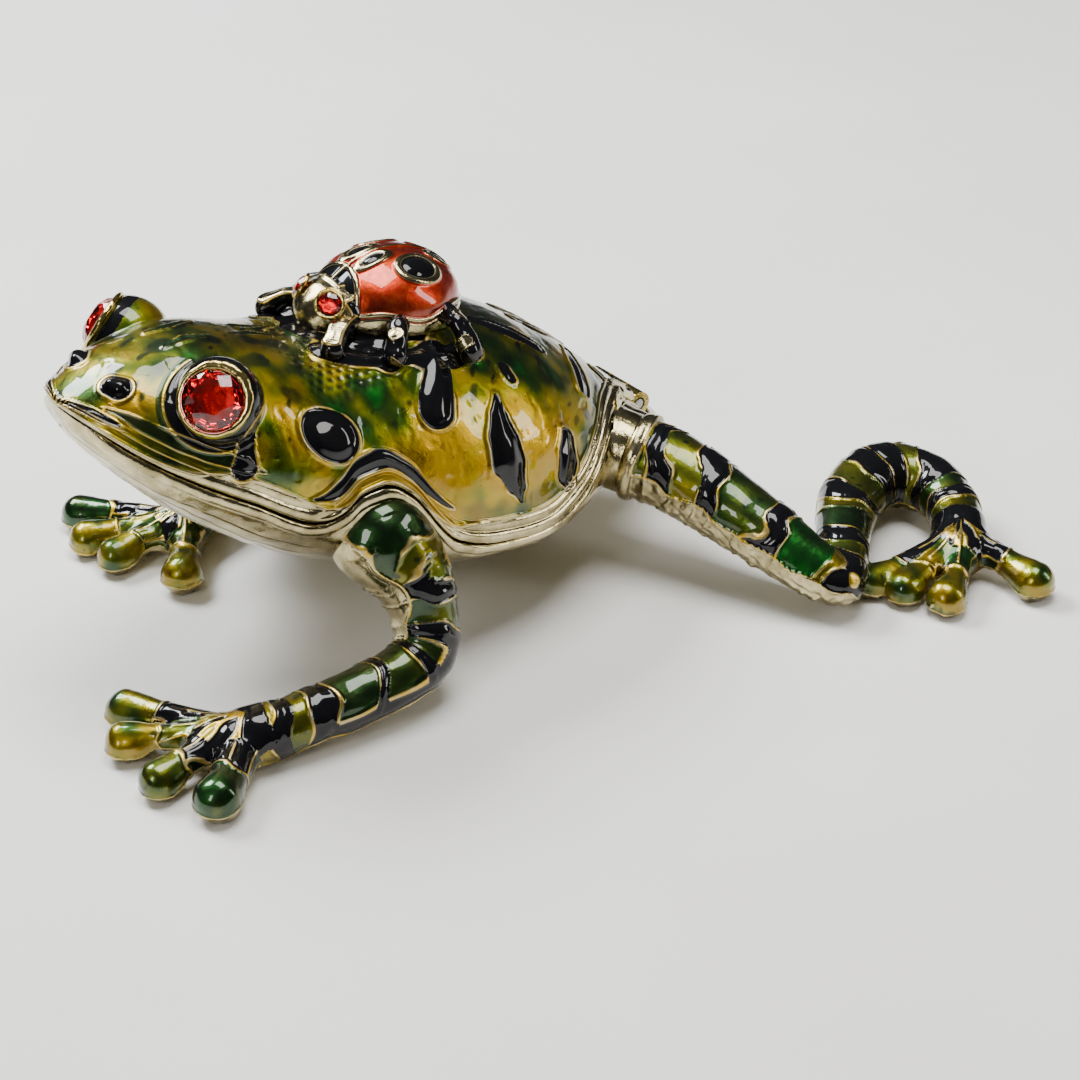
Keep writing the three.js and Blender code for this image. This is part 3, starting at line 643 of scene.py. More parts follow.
def relaxed(points, faces, rounds):
    """Laplacian smoothing over the quads' edges."""
    quads = np.array([face for face in faces if len(face) == 4])
    pairs = np.concatenate([quads[:, [k, (k + 1) % 4]] for k in range(4)])
    a = np.concatenate([pairs[:, 0], pairs[:, 1]])
    b = np.concatenate([pairs[:, 1], pairs[:, 0]])
    degree = np.maximum(np.bincount(a, minlength=len(points)), 1)[:, None]
    for _ in range(rounds):
        total = np.stack([np.bincount(a, points[b, k], len(points)) for k in range(3)], 1)
        points = points * 0.4 + total / degree * 0.6
    return points


def level_and_gradient(points, paths, soft, clear, step=0.04):
    corners = np.array([[1, -1, -1], [-1, -1, 1], [-1, 1, -1], [1, 1, 1]], float)
    values = [limbs_distance(points + step * corner, paths, soft, clear) for corner in corners]
    gradient = sum(value[:, None] * corner for value, corner in zip(values, corners))
    gradient /= np.maximum(np.linalg.norm(gradient, axis=1, keepdims=True), 1e-9)
    return sum(values) / 4, gradient


# ---------- legs ----------
# Stem and digits of each leg as in the CAD: (x, y, z, radius).
FRONT_LEFT = [
    [(10.6, -10.6, 11.8, 3.9), (11.6, -12.8, 9.4, 3.1), (11.8, -14.2, 6.8, 2.6), (10.9, -15.5, 4.2, 2.4),
     (8.4, -16, 3.2, 2.3), (4, -15.9, 2.8, 2.2), (-1, -15.4, 2.5, 2.1), (-4.5, -14.3, 1.95, 2.3),
     (-6.2, -13.5, 1.8, 2.0)],
    [(-5.2, -12.6, 1.9, 1.4), (-7.3, -8.6, 2, 1.05), (-8.9, -4.9, 1.35, 1.6)],
    [(-6.2, -12.8, 1.9, 1.4), (-9, -10.3, 2, 1), (-11, -8.4, 1.35, 1.6)],
    [(-6.4, -13.8, 1.9, 1.4), (-9.2, -14, 2, 1.1), (-11.5, -14, 1.35, 1.6)],
    [(-5.4, -15.2, 1.9, 1.5), (-7.8, -17.4, 1.8, 1.4), (-9.5, -18.6, 1.55, 1.8)],
]
FRONT_RIGHT = [
    [(10.8, 10.8, 11.6, 3.9), (14.4, 13.2, 8.6, 3.2), (18.4, 15.4, 5.2, 2.8), (20, 16.8, 3.4, 2.7),
     (18, 17.3, 2.8, 2.5), (13.5, 16.4, 2.6, 2.3), (9.6, 15, 2.2, 2.2), (7.4, 14.2, 1.8, 2.2)],
    [(7.4, 15.2, 1.9, 1.4), (4.9, 19, 2, 1.05), (2.7, 22.4, 1.35, 1.6)],
    [(6.8, 14.8, 1.9, 1.4), (3.6, 16.9, 2, 1), (1.2, 18.4, 1.35, 1.6)],
    [(6.6, 14.2, 1.9, 1.4), (3.9, 14.5, 2, 1.1), (1.6, 14.6, 1.35, 1.6)],
    [(7.4, 13, 1.9, 1.4), (5.8, 10.8, 1.8, 1.2), (4.3, 8.8, 1.45, 1.7)],
]
HIND_LEFT = [
    [(35.4, -6.6, 9.6, 3.4), (38.2, -11.6, 8.4, 3.3), (39.9, -16.2, 6.8, 3.0), (41.2, -20.6, 5.2, 2.7),
     (42.4, -24.2, 3.7, 2.3), (43.6, -26.2, 2.8, 1.9), (45.4, -24.8, 2.7, 1.9), (48.4, -21.6, 2.9, 2.2),
     (52, -18.4, 3.1, 2.5), (55.6, -16.7, 3.3, 2.7), (58.8, -17.3, 3.2, 2.7), (60, -20.4, 2.9, 2.4),
     (59, -23.9, 2.6, 2.1), (56.9, -26.5, 2.0, 2.2), (55.4, -27.8, 1.7, 2.0)],
    [(56.6, -27.2, 2, 1.5), (57.4, -31, 1.9, 1.1), (57.6, -34.2, 1.45, 1.7)],
    [(55.2, -28.2, 2, 1.4), (52.6, -30.4, 1.9, 1), (50.4, -31.6, 1.35, 1.6)],
    [(54.8, -27.6, 2, 1.4), (51.4, -28.2, 1.9, 1), (48.8, -28.5, 1.25, 1.5)],
    [(55, -27, 2, 1.4), (51, -26.6, 1.8, 1), (47.6, -26, 1.15, 1.4)],
]
HIND_RIGHT = [
    [(35.4, 6.6, 9.6, 3.4), (32.4, 12.4, 9, 3.3), (29, 16.8, 8.2, 3), (26.6, 19.4, 6.8, 2.5),
     (27, 20.4, 5, 2.2), (30.6, 19.8, 3.8, 2.4), (35.2, 18.8, 3, 2.3), (38.4, 19.2, 2.6, 2.1),
     (38, 21.6, 2.4, 2), (34.8, 22.8, 1.9, 2.1), (32.2, 23.2, 1.7, 2)],
    [(32.6, 24, 2, 1.4), (31.2, 26, 1.9, 1.05), (30, 27.4, 1.35, 1.6)],
    [(31.6, 23.8, 2, 1.4), (28.6, 25.2, 1.9, 1), (26, 26.4, 1.35, 1.6)],
    [(31.4, 23.2, 2, 1.4), (28, 23.4, 1.9, 1), (25, 23.4, 1.25, 1.5)],
    [(33, 24.4, 2, 1.4), (34.2, 26.4, 1.9, 1), (35, 27.8, 1.25, 1.5)],
]
# Enamel cells along each stem as (where the cell ends, colour): k black, g green, d dark green, v vivid green,
# o olive and a amber. Each digit has two, for its strip and its tip.
FRONT_LEFT_CELLS = [(2.2, "d"), (3.0, "o"), (4.6, "k"), (7.0, "g"), (8.8, "k"), (10.2, "g"), (11.2, "k"),
                    (14.2, "g"), (15.6, "k"), (18.9, "d"), (20.6, "k"), (22.0, "o"), (23.6, "k"), (40, "a")]
FRONT_RIGHT_CELLS = [(2.0, "d"), (4.0, "a"), (6.0, "k"), (9.5, "g"), (11.2, "k"), (14.0, "g"), (15.6, "k"),
                     (18.6, "o"), (20.2, "k"), (23.0, "d"), (40, "g")]
HIND_LEFT_CELLS = [(4.6, "o"), (6.2, "k"), (8.8, "o"), (11.2, "k"), (14.6, "g"), (16.4, "k"), (20.6, "v"),
                   (21.6, "a"), (24.4, "k"), (26.6, "o"), (28.0, "k"), (31.0, "d"), (32.6, "o"), (34.6, "k"),
                   (37.0, "o"), (39.4, "k"), (42.0, "k"), (43.4, "o"), (45.6, "k"), (47.6, "g"), (49.4, "k"),
                   (51.2, "o"), (53.0, "k"), (70, "a")]
HIND_RIGHT_CELLS = [(3.0, "o"), (5.4, "k"), (8.8, "o"), (11.0, "k"), (14.0, "g"), (15.6, "k"), (18.4, "v"),
                    (20.2, "k"), (23.4, "o"), (25.4, "k"), (28.2, "g"), (30.0, "k"), (32.6, "o"), (34.2, "k"),
                    (60, "a")]
# How green each colour is, and how dark.
CELL_TINT = {"k": (1.0, 1.0), "g": (0.76, 0.30), "d": (0.98, 0.58), "o": (0.45, 0.22), "a": (0.10, 0.08),
             "v": (1.38, 0.05)}
LEG_VOXEL, LEG_SOFT = 0.125, 0.8
DIGIT_RADIUS = 1.3
WRIST_STEPS = 9
# Run along the forearm that the low black panel covers, and the upward slope where it ends.
LOW_PANEL = (8.0, 19.5, 0.16)
PALM_LENGTH = 3.6
RIDGE_LENGTH = 3.0


def flat_distance(points, path):
    """Distance in plan from points to a polyline."""
    best = np.full(len(points), 99.0)
    for a, b in zip(path[:-1], path[1:]):
        axis = b - a
        t = np.clip((points - a) @ axis / max(axis @ axis, 1e-9), 0, 1)
        best = np.minimum(best, np.linalg.norm(points - a - t[:, None] * axis, axis=1))
    return best


def leg_piece(name, paths, cells, digit_kinds, metal_limit, seed, low_panel=None):
    """One leg with its hand or foot, its enamel cells and its bare metal, fixed to the base."""
    curves = [curve_through(path) for path in paths]
    points, faces, normal = remeshed_limbs(curves, LEG_VOXEL, LEG_SOFT, LID_CLEAR)
    stem, run, foot = limb_distance(points, curves[0])
    digits, runs = np.array([limb_distance(points, curve)[:2] for curve in curves[1:]]).transpose(1, 0, 2)
    nearest = digits.argmin(0)
    digit = digits.min(0)
    count = len(points)
    on_digit = digit < stem - 0.1
    away = points - foot
    bow = (away[:, 2] / 2.5) ** 2
    sway = 0.75 * wavy(points, 7.0, seed) + 0.30 * wavy(points, 2.6, seed + 1) + 0.7 * (bow - 0.5)
    position = run + sway
    green = np.zeros(count)
    dark = np.zeros(count)
    black = np.full(count, -FAR)
    line = np.full(count, FAR)
    flooded = 0.13 * smoothstep(-0.1, 0.7, wavy(points, 3.0, seed + 9))
    start = -20.0
    for end, kind in cells:
        inside = np.minimum(position - start, end - position)
        here = inside > 0
        green[here], dark[here] = CELL_TINT[kind]
        if kind == "k":
            black = np.maximum(black, inside)
        line = np.minimum(line, np.abs(position - end) + np.where(on_digit, FAR, 0) + flooded)
        start = end
    if low_panel is not None:
        # Black enamel low along the limb, parted from the panels above by a long gold outline.
        first, last, level = low_panel
        low = (level + 0.14 * wavy(points, 5.0, seed + 15) - normal[:, 2]) * DIGIT_RADIUS
        low = np.where(on_digit, -FAR, np.minimum.reduce([low, run - first, last - run]))
        beside = np.where(black < 0, np.abs(low), FAR)
        line = np.where(low > 0, beside, np.minimum(line, beside))
        black = np.maximum(black, low)
    # Digits: an enamel strip along the top, gold ridges at its sides, and a ball at the tip.
    fan = (normal[:, 2] - 0.45 + 0.2 * wavy(points, 2.0, seed + 2)) * DIGIT_RADIUS
    for k, kind in enumerate(digit_kinds):
        mine = on_digit & (nearest == k)
        tint, tip = CELL_TINT[kind[0]], CELL_TINT[kind[1]]
        change = 0.62 * runs[k].max() + 0.35 * wavy(points, 2.5, seed + 10)
        at_tip = runs[k] > change
        green[mine] = np.where(at_tip, tip[0], tint[0])[mine]
        dark[mine] = np.where(at_tip, tip[1], tint[1])[mine]
        strip = np.where(at_tip, change - runs[k], np.minimum(fan, change - runs[k]))
        valley = strip if kind[0] == "k" else np.full(count, -FAR)
        if kind[1] == "k":
            valley = np.maximum(valley, runs[k] - change)
        black = np.where(mine, valley, black)
        beside = np.where(at_tip, FAR, np.abs(fan))
        line = np.where(mine, np.minimum(np.abs(runs[k] - change), beside), line)
    # Gold ridges fan out over the back of the hand and along each digit, with black between them.
    wrist = curves[0][-WRIST_STEPS, :2]
    ridge = np.full(count, FAR)
    for curve in curves[1:]:
        ridge = np.minimum(ridge, flat_distance(points[:, :2], np.vstack([wrist, curve[:, :2]])))
    ridge += 0.4 * smoothstep(2.6, 1.2, np.linalg.norm(points[:, :2] - wrist, axis=1))
    palm = (run > run.max() - PALM_LENGTH) & ~on_digit & (normal[:, 2] > 0.1)
    ridged = palm | (on_digit & (normal[:, 2] > 0.3) & (runs[nearest, np.arange(count)] < RIDGE_LENGTH))
    black = np.where(palm, np.maximum(black, ridge - 0.42 + 0.1 * wavy(points, 1.8, seed + 12)), black)
    line = np.where(palm, np.abs(black), line)
    line = np.where(ridged, np.minimum(line, ridge + 0.02), line)
    metal = metal_limit(normal, run, on_digit) + 0.25 * wavy(points, 3.0, seed + 3)
    black = np.minimum(black, -metal)
    line = np.minimum(line, np.abs(metal))
    edge = np.clip(line, 0, 3)
    lift = 0.11 * smoothstep(0.24, 0.06, line)
    lift += 0.13 * smoothstep(0.1, 0.9, np.minimum(black, edge))
    lift += 0.04 * wavy(points, 2.4, seed + 11)
    rough = 0.035 * wavy(points, 1.6, seed + 4) + 0.03 * wavy(points, 0.7, seed + 5)
    if metal_limit is hind_left_metal:
        lift += 0.40 * bead(run, COLLAR - 0.6, 0.6)
        rough += 0.05 * wavy(points, 0.8, seed + 14) * (run > COLLAR)
    lift += rough * (metal > 0) * smoothstep(2.0, 6.0, run)
    lift = np.where(body_distance(points) < 0.9, 0, lift)
    points = points + normal * lift[:, None]
    points[:, 2] = np.maximum(points[:, 2], 0.0)
    speck = wavy(points, 1.5, seed + 6) + 0.6 * wavy(points, 0.9, seed + 7)
    dark = dark + 0.7 * smoothstep(1.1, 1.6, speck)
    green = green + 0.22 * wavy(points, 3.5, seed + 8) + on_digit * (0.18 + 0.32 * wavy(points, 1.9, seed + 13))
    fields = {"black": black, "metal": metal, "line": line, "green": green, "dark": np.clip(dark, 0, 1)}
    piece = make_mesh(name + "_cast", points, faces, fields)
    finish_piece(piece, "base", enamel_leg, "enamel_leg", name)


# Runs at which the near arm's metal ends, and the near thigh's collar and metal.
ARM_METAL, COLLAR, THIGH_METAL = 11.5, 3.8, 24.5


def front_left_metal(normal, run, on_digit):
    """Bare metal, above 0, down the inside of the near arm and under its hand."""
    inner = (normal @ np.array([-0.80, 0.15, -0.45]) - 0.42) * 2.6 * smoothstep(ARM_METAL, 9.0, run)
    inner -= 1.5 * (run > ARM_METAL) + 2.0 * smoothstep(9.5, ARM_METAL, run)
    under = (-normal[:, 2] - np.where(on_digit, 0.25, 0.55)) * 2.0
    return np.maximum(inner, under)


def hind_left_metal(normal, run, on_digit):
    """Bare metal on the near thigh's collar and underside, and under the foot."""
    thigh = smoothstep(THIGH_METAL, 22.5, run)
    side = (normal @ np.array([-0.55, -0.25, -0.72]) - 0.50 + 0.10 * smoothstep(18, 24, run)) * 3.0
    under = (-normal[:, 2] - np.where(on_digit, 0.30, 0.60)) * 2.0
    top = np.maximum(side, COLLAR - run)
    return np.maximum(np.where(run < THIGH_METAL, top * thigh - 1.5 * (1 - thigh), -3), under)


def plain_metal(normal, run, on_digit):
    return (-normal[:, 2] - np.where(on_digit, 0.25, 0.45)) * 2.0


# ---------- gems ----------
# Crystal rings as (corners, turn, radius, height) and foil profile, both in crystal radii.
GEM_RINGS = [(8, 0.0, 0.52, 0.42), (8, 0.5, 0.80, 0.27), (16, 0.0, 1.0, 0.06), (16, 0.0, 1.0, 0.0)]
PAVILION, GEM_TURN = 0.62, 0.2
# Bezels as (radius, half thickness, how much thicker on one side, seed of the hammering).
EYE_BEZEL, BUG_BEZEL = (2.36, 0.24, 0.7, 61), (1.02, 0.16, 0.3, 62)
FOIL = [(1.05, 0.05), (1.02, -0.04), (0.55, -0.36), (0.02, -0.70), (0.02, -0.76), (0.60, -0.42), (1.10, -0.06),
        (1.10, 0.05), (1.05, 0.05)]
BEZEL_GRID, FOIL_SIDES = (180, 28), 48


def axes_from(facing):
    facing = unit(facing)
    side = unit(np.cross([0, 0, 1.0], facing))
    return side, np.cross(facing, side), facing


def gem(name, centre, facing, radius):
    """Chaton-cut crystal: table, star, kite and lower crown facets, girdle and pavilion."""
    side, over, out = axes_from(facing)
    points, starts = [], []
    for count, shift, reach, height in GEM_RINGS:
        starts.append(len(points))
        for k in range(count):
            angle = 2 * math.pi * (k + shift) / count + GEM_TURN
            around = math.cos(angle) * side + math.sin(angle) * over
            points.append(centre + radius * (reach * around + height * out))
    tip = len(points)
    points.append(centre - PAVILION * radius * out)
    table, mid, girdle, low = starts
    faces = [[table + k for k in range(8)]]
    for k in range(8):
        nxt = (k + 1) % 8
        before = (k - 1) % 8
        faces.append([table + k, mid + k, table + nxt])
        faces.append([table + k, mid + before, girdle + 2 * k])
        faces.append([table + k, girdle + 2 * k, mid + k])
        faces.append([mid + k, girdle + 2 * k, girdle + 2 * k + 1])
        faces.append([mid + k, girdle + 2 * k + 1, girdle + (2 * k + 2) % 16])
    for k in range(16):
        nxt = (k + 1) % 16
        faces.append([girdle + k, low + k, low + nxt, girdle + nxt])
        faces.append([low + k, tip, low + nxt])
    bm = bmesh.new()
    verts = [bm.verts.new(p) for p in points]
    for face in faces:
        bm.faces.new([verts[i] for i in face])
    bmesh.ops.recalc_face_normals(bm, faces=bm.faces)
    bm.verts.index_update()
    faces = [[v.index for v in face.verts] for face in bm.faces]
    bm.free()
    return make_mesh(name, points, faces, smooth=False)


def bezel(name, centre, facing, radius, thick, swell_side, seed):
    """Gold ring round a crystal, hammered, thicker on one side."""
    side, over, out = axes_from(facing)
    around, across = BEZEL_GRID
    a = np.linspace(0, 2 * math.pi, around, endpoint=False)[:, None]
    b = np.linspace(0, 2 * math.pi, across, endpoint=False)[None]
    grow = 1 + swell_side * (0.5 + 0.5 * np.cos(a - 0.8)) ** 2
    reach = radius + thick * grow * (np.cos(b) + 0.6 * (grow - 1))
    height = thick * 0.85 * np.sin(b) * grow ** 0.5
    points = (centre + reach[..., None] * (np.cos(a)[..., None] * side + np.sin(a)[..., None] * over)
              + height[..., None] * out)
    points = points + (points - centre) / radius * (0.03 * wavy(points, 0.9, seed))[..., None]
    ring = np.concatenate([points, points[:1]])
    return make_mesh(name, ring.reshape(-1, 3), grid_faces(around + 1, across, close_columns=True))


def foil_cup(name, centre, facing, radius):
    """Mirror foil behind a crystal."""
    side, over, out = axes_from(facing)
    a = np.linspace(0, 2 * math.pi, FOIL_SIDES, endpoint=False)[None, :, None]
    reach, height = np.array(FOIL).T[..., None, None] * radius
    points = centre + reach * np.cos(a) * side + reach * np.sin(a) * over + (height + 0 * a) * out
    return make_mesh(name, points.reshape(-1, 3), grid_faces(len(FOIL), FOIL_SIDES, close_columns=True))


# ---------- ladybird ----------
BUG_CENTRE = np.array([19.0, 0.0, 25.1])
BUG_SIZE = np.array([6.0, 5.0, 4.2])
BUG_PITCH = math.radians(8)
BUG_HEAD = np.array([13.6, 0.0, 26.0])
BUG_HEAD_SIZE = np.array([2.6, 3.2, 2.6])
BUG_EYE = np.array([12.9, 1.7, 27.0])
BUG_EYE_FACING = np.array([-0.62, 0.55, 0.56])
BUG_EYE_RADIUS, BUG_EYE_SEAT = 0.92, 0.45
WING_GRID, BUG_HEAD_GRID = (300, 360), (160, 200)
WING_FLOOR, BUG_HEAD_FLOOR = -1.1, -1.7       # both are cut flat here, where they sit in the lid
BUG_LEG_VOXEL, BUG_LEG_SOFT = 0.09, 0.3
BUG_LEGS = [
    [(14.2, -2.4, 25.6, .9), (12.4, -3.6, 25.8, .8), (11.2, -4.4, 25, 1)],
    [(17.4, -4, 25.2, .9), (16.2, -5.6, 25.2, .75), (15.4, -6.4, 24, .95)],
    [(21.4, -4.2, 24.8, .9), (21.4, -6, 24.6, .75), (21.4, -7.6, 22.9, .95)],
]
# Wing spots as (along towards the tail, across, half length, half width).
BUG_SPOTS = [(0.7, 2.75, 1.55, 0.95), (-2.2, 0.95, 1.0, 0.45), (3.6, 1.2, 0.8, 0.5)]


def pitched(points):
    c, s = math.cos(BUG_PITCH), math.sin(BUG_PITCH)
    return points @ np.array([[c, 0, -s], [0, 1, 0], [s, 0, c]])


def ellipsoid_grid(size, grid, floor):
    """Points and normals from the front round to the back, with nothing below the floor."""
    a = np.linspace(0.02, math.pi - 0.02, grid[0])[:, None]
    b = np.linspace(0, 2 * math.pi, grid[1], endpoint=False)[None]
    ball = np.stack([-np.cos(a) + 0 * b, np.sin(a) * np.cos(b), np.sin(a) * np.sin(b)], -1)
    local = ball * size
    local[..., 2] = np.maximum(local[..., 2], floor)
    return local, unit(ball / size)


def closed_ellipsoid(name, local, normal, place, fields, lift):
    points = place(local + normal * lift[..., None])
    rows, columns = lift.shape
    first = points[0].mean(0)
    last = points[-1].mean(0)
    flat = np.concatenate([points.reshape(-1, 3), [first], [last]])
    faces = grid_faces(rows, columns, close_columns=True).tolist()
    n = rows * columns
    for k in range(columns):
        faces.append([n, k, (k + 1) % columns])
        faces.append([n + 1, (rows - 1) * columns + (k + 1) % columns, (rows - 1) * columns + k])
    full = {key: np.concatenate([v.ravel(), [v[0].mean()], [v[-1].mean()]]) for key, v in fields.items()}
    return make_mesh(name, flat, faces, full)


def build_wings():
    local, normal = ellipsoid_grid(BUG_SIZE, WING_GRID, WING_FLOOR)
    x, y, z = np.moveaxis(local, -1, 0)
    across = np.abs(y)
    spot = np.full(x.shape, -FAR)
    for sx, sy, half_x, half_y in BUG_SPOTS:
        distance = (1 - np.hypot((x - sx) / half_x, (across - sy) / half_y)) * min(half_x, half_y)
        spot = np.where(z > 0, np.maximum(spot, distance), spot)
    seam = np.where(z > 0, across, FAR)
    front = x + 3.9 + 0.10 * across ** 2
    rim = z - 0.35 + 0.3 * np.cos(x)
    outline = 0.17 - np.abs(spot + 0.14)
    metal = np.maximum.reduce([0.10 - seam, 0.17 - np.abs(front), outline, 0.16 - np.abs(rim)])
    metal = np.maximum(metal, -rim - 0.3)
    lift = 0.16 * smoothstep(-0.12, 0.12, metal) + 0.12 * smoothstep(0.0, 0.5, spot)
    lift -= 0.12 * smoothstep(0.5, 0.15, seam) * (seam > 0.2)
    lift += 0.05 * wavy(local, 3.0, 51)
    fields = {"black": np.maximum(spot, np.where(front < 0, -front, -FAR)), "metal": metal,
              "line": np.full(x.shape, FAR), "dark": 0.5 * smoothstep(2.5, 0.5, z)}
    return closed_ellipsoid("ladybird_wings", local, normal, lambda p: pitched(p) + BUG_CENTRE, fields, lift)


def place_bug_head(p):
    """Egg shape, narrow and low at the nose."""
    narrow = 1 - 0.16 * np.clip(-p[..., :1] / BUG_HEAD_SIZE[0], -1, 1)
    return p * np.concatenate([np.ones_like(narrow), narrow, narrow * 0.9], -1) + BUG_HEAD - [0, 0, 0.25]


def build_bug_head():
    local, normal = ellipsoid_grid(BUG_HEAD_SIZE, BUG_HEAD_GRID, BUG_HEAD_FLOOR)
    x, y, z = np.moveaxis(local, -1, 0)
    across = np.abs(y)
    cheek = np.minimum(x + 0.1 + 0.3 * (2.2 - across), 1.9 - np.abs(z + 0.2))
    cheek = np.minimum(cheek, across - 0.9)
    cheek = np.maximum(cheek, np.minimum(-0.9 - z, 2.3 - np.abs(x)))
    brow = np.minimum(0.55 - np.abs(x - 0.9), 1.2 - across)
    black = np.maximum(cheek, brow)
    line = np.abs(black)
    lift = 0.14 * smoothstep(0.22, 0.05, line) + 0.10 * smoothstep(0.1, 0.5, black)
    lift += 0.04 * wavy(local, 1.4, 53)
    fields = {"black": black, "metal": -black - 0.05, "line": line, "dark": np.full(x.shape, 0.5)}
    return closed_ellipsoid("ladybird_head", local, normal, place_bug_head, fields, lift)


def build_bug_legs():
    paths = []
    for leg in BUG_LEGS:
        paths.append(curve_through(leg))
        paths.append(curve_through([(x, -y, z, r) for x, y, z, r in leg]))
    points, faces, normal = remeshed_limbs(paths, BUG_LEG_VOXEL, BUG_LEG_SOFT)
    front_pair = points[:, 0] < 14.6
    ends = smoothstep(0.2, 0.9, wavy(points, 2.6, 57))
    metal = np.where(front_pair, (normal[:, 2] - 0.72) * 0.9, (ends - 0.85) * 1.2)
    lift = 0.07 * wavy(points, 1.3, 58) + 0.1 * smoothstep(0.2, 0.0, np.abs(metal))
    points = points + normal * lift[:, None]
    return make_mesh("ladybird_legs", points, faces, {"black": -metal, "metal": metal, "line": np.abs(metal)})


# ---------- materials ----------
class Nodes:
    """Short way to build a node material."""

    def __init__(self, name):
        self.material = bpy.data.materials.new(name)
        self.material.use_nodes = True
        self.tree = self.material.node_tree
        self.shader = self.tree.nodes["Principled BSDF"]

    def add(self, kind, inputs=None, **settings):
        made = self.tree.nodes.new(kind)
        for key, value in settings.items():
            setattr(made, key, value)
        for key, value in (inputs or {}).items():
            self.put(made.inputs[key], value)
        return made

    def put(self, socket, value):
        if isinstance(value, bpy.types.NodeSocket):
            self.tree.links.new(value, socket)
        else:
            socket.default_value = value

    def field(self, name):
        return self.add("ShaderNodeAttribute", attribute_name=name).outputs["Fac"]

    def math(self, operation, a, b, clamp=False):
        return self.add("ShaderNodeMath", {0: a, 1: b}, operation=operation, use_clamp=clamp).outputs[0]

    def above(self, value, low, high, to_low=0.0, to_high=1.0):
        inputs = {"Value": value, "From Min": low, "From Max": high, "To Min": to_low, "To Max": to_high}
        return self.add("ShaderNodeMapRange", inputs, interpolation_type="SMOOTHSTEP").outputs["Result"]

    def mix(self, share, a, b, kind="RGBA"):
        """The Mix node keeps its number sockets first and its colour sockets last."""
        first, second, result = (6, 7, 2) if kind == "RGBA" else (2, 3, 0)
        return self.add("ShaderNodeMix", {0: share, first: a, second: b}, data_type=kind).outputs[result]

    def noise(self, size_mm, detail=3.0, roughness=0.55):
        place = self.add("ShaderNodeTexCoord").outputs["Object"]
        inputs = {"Vector": place, "Scale": 1.0 / (size_mm * MM), "Detail": detail, "Roughness": roughness}
        return self.add("ShaderNodeTexNoise", inputs).outputs["Fac"]

    def ramp(self, value, stops):
        made = self.add("ShaderNodeValToRGB", {"Fac": value})
        elements = made.color_ramp.elements
        while len(elements) < len(stops):
            elements.new(0.5)
        for element, (position, colour) in zip(elements, stops):
            element.position = position
            element.color = (*colour, 1)
        return made.outputs["Color"]

    def bump(self, height, distance_mm, strength):
        inputs = {"Height": height, "Distance": distance_mm * MM, "Strength": strength}
        return self.add("ShaderNodeBump", inputs).outputs["Normal"]

    def out(self, **sockets):
        for key, value in sockets.items():
            self.put(self.shader.inputs[key.replace("_", " ")], value)
        return self.material


PALE_GOLD = (0.58, 0.50, 0.28)
DEEP_GOLD = (0.66, 0.42, 0.02)
SHADED_GOLD = (0.30, 0.25, 0.12)
TARNISH = (0.16, 0.11, 0.05, 1)
LINING = (0.50, 0.38, 0.19, 1)
DARK_ENAMEL = (0.010, 0.020, 0.006, 1)
DEEP_ENAMEL = (0.012, 0.035, 0.010, 1)
BLACK_ENAMEL = (0.0035, 0.0035, 0.0045, 1)
GREENS = [(0.0, (0.43, 0.25, 0.0001)), (0.26, (0.38, 0.28, 0.0001)), (0.42, (0.24, 0.22, 0.0002)),
          (0.56, (0.13, 0.15, 0.001)), (0.72, (0.036, 0.072, 0.002)), (0.86, (0.010, 0.048, 0.003)),
          (1.0, (0.002, 0.115, 0.006))]
REDS = [(0.25, (0.38, 0.004, 0.003)), (0.5, (0.75, 0.020, 0.004)), (0.75, (1.0, 0.12, 0.012))]


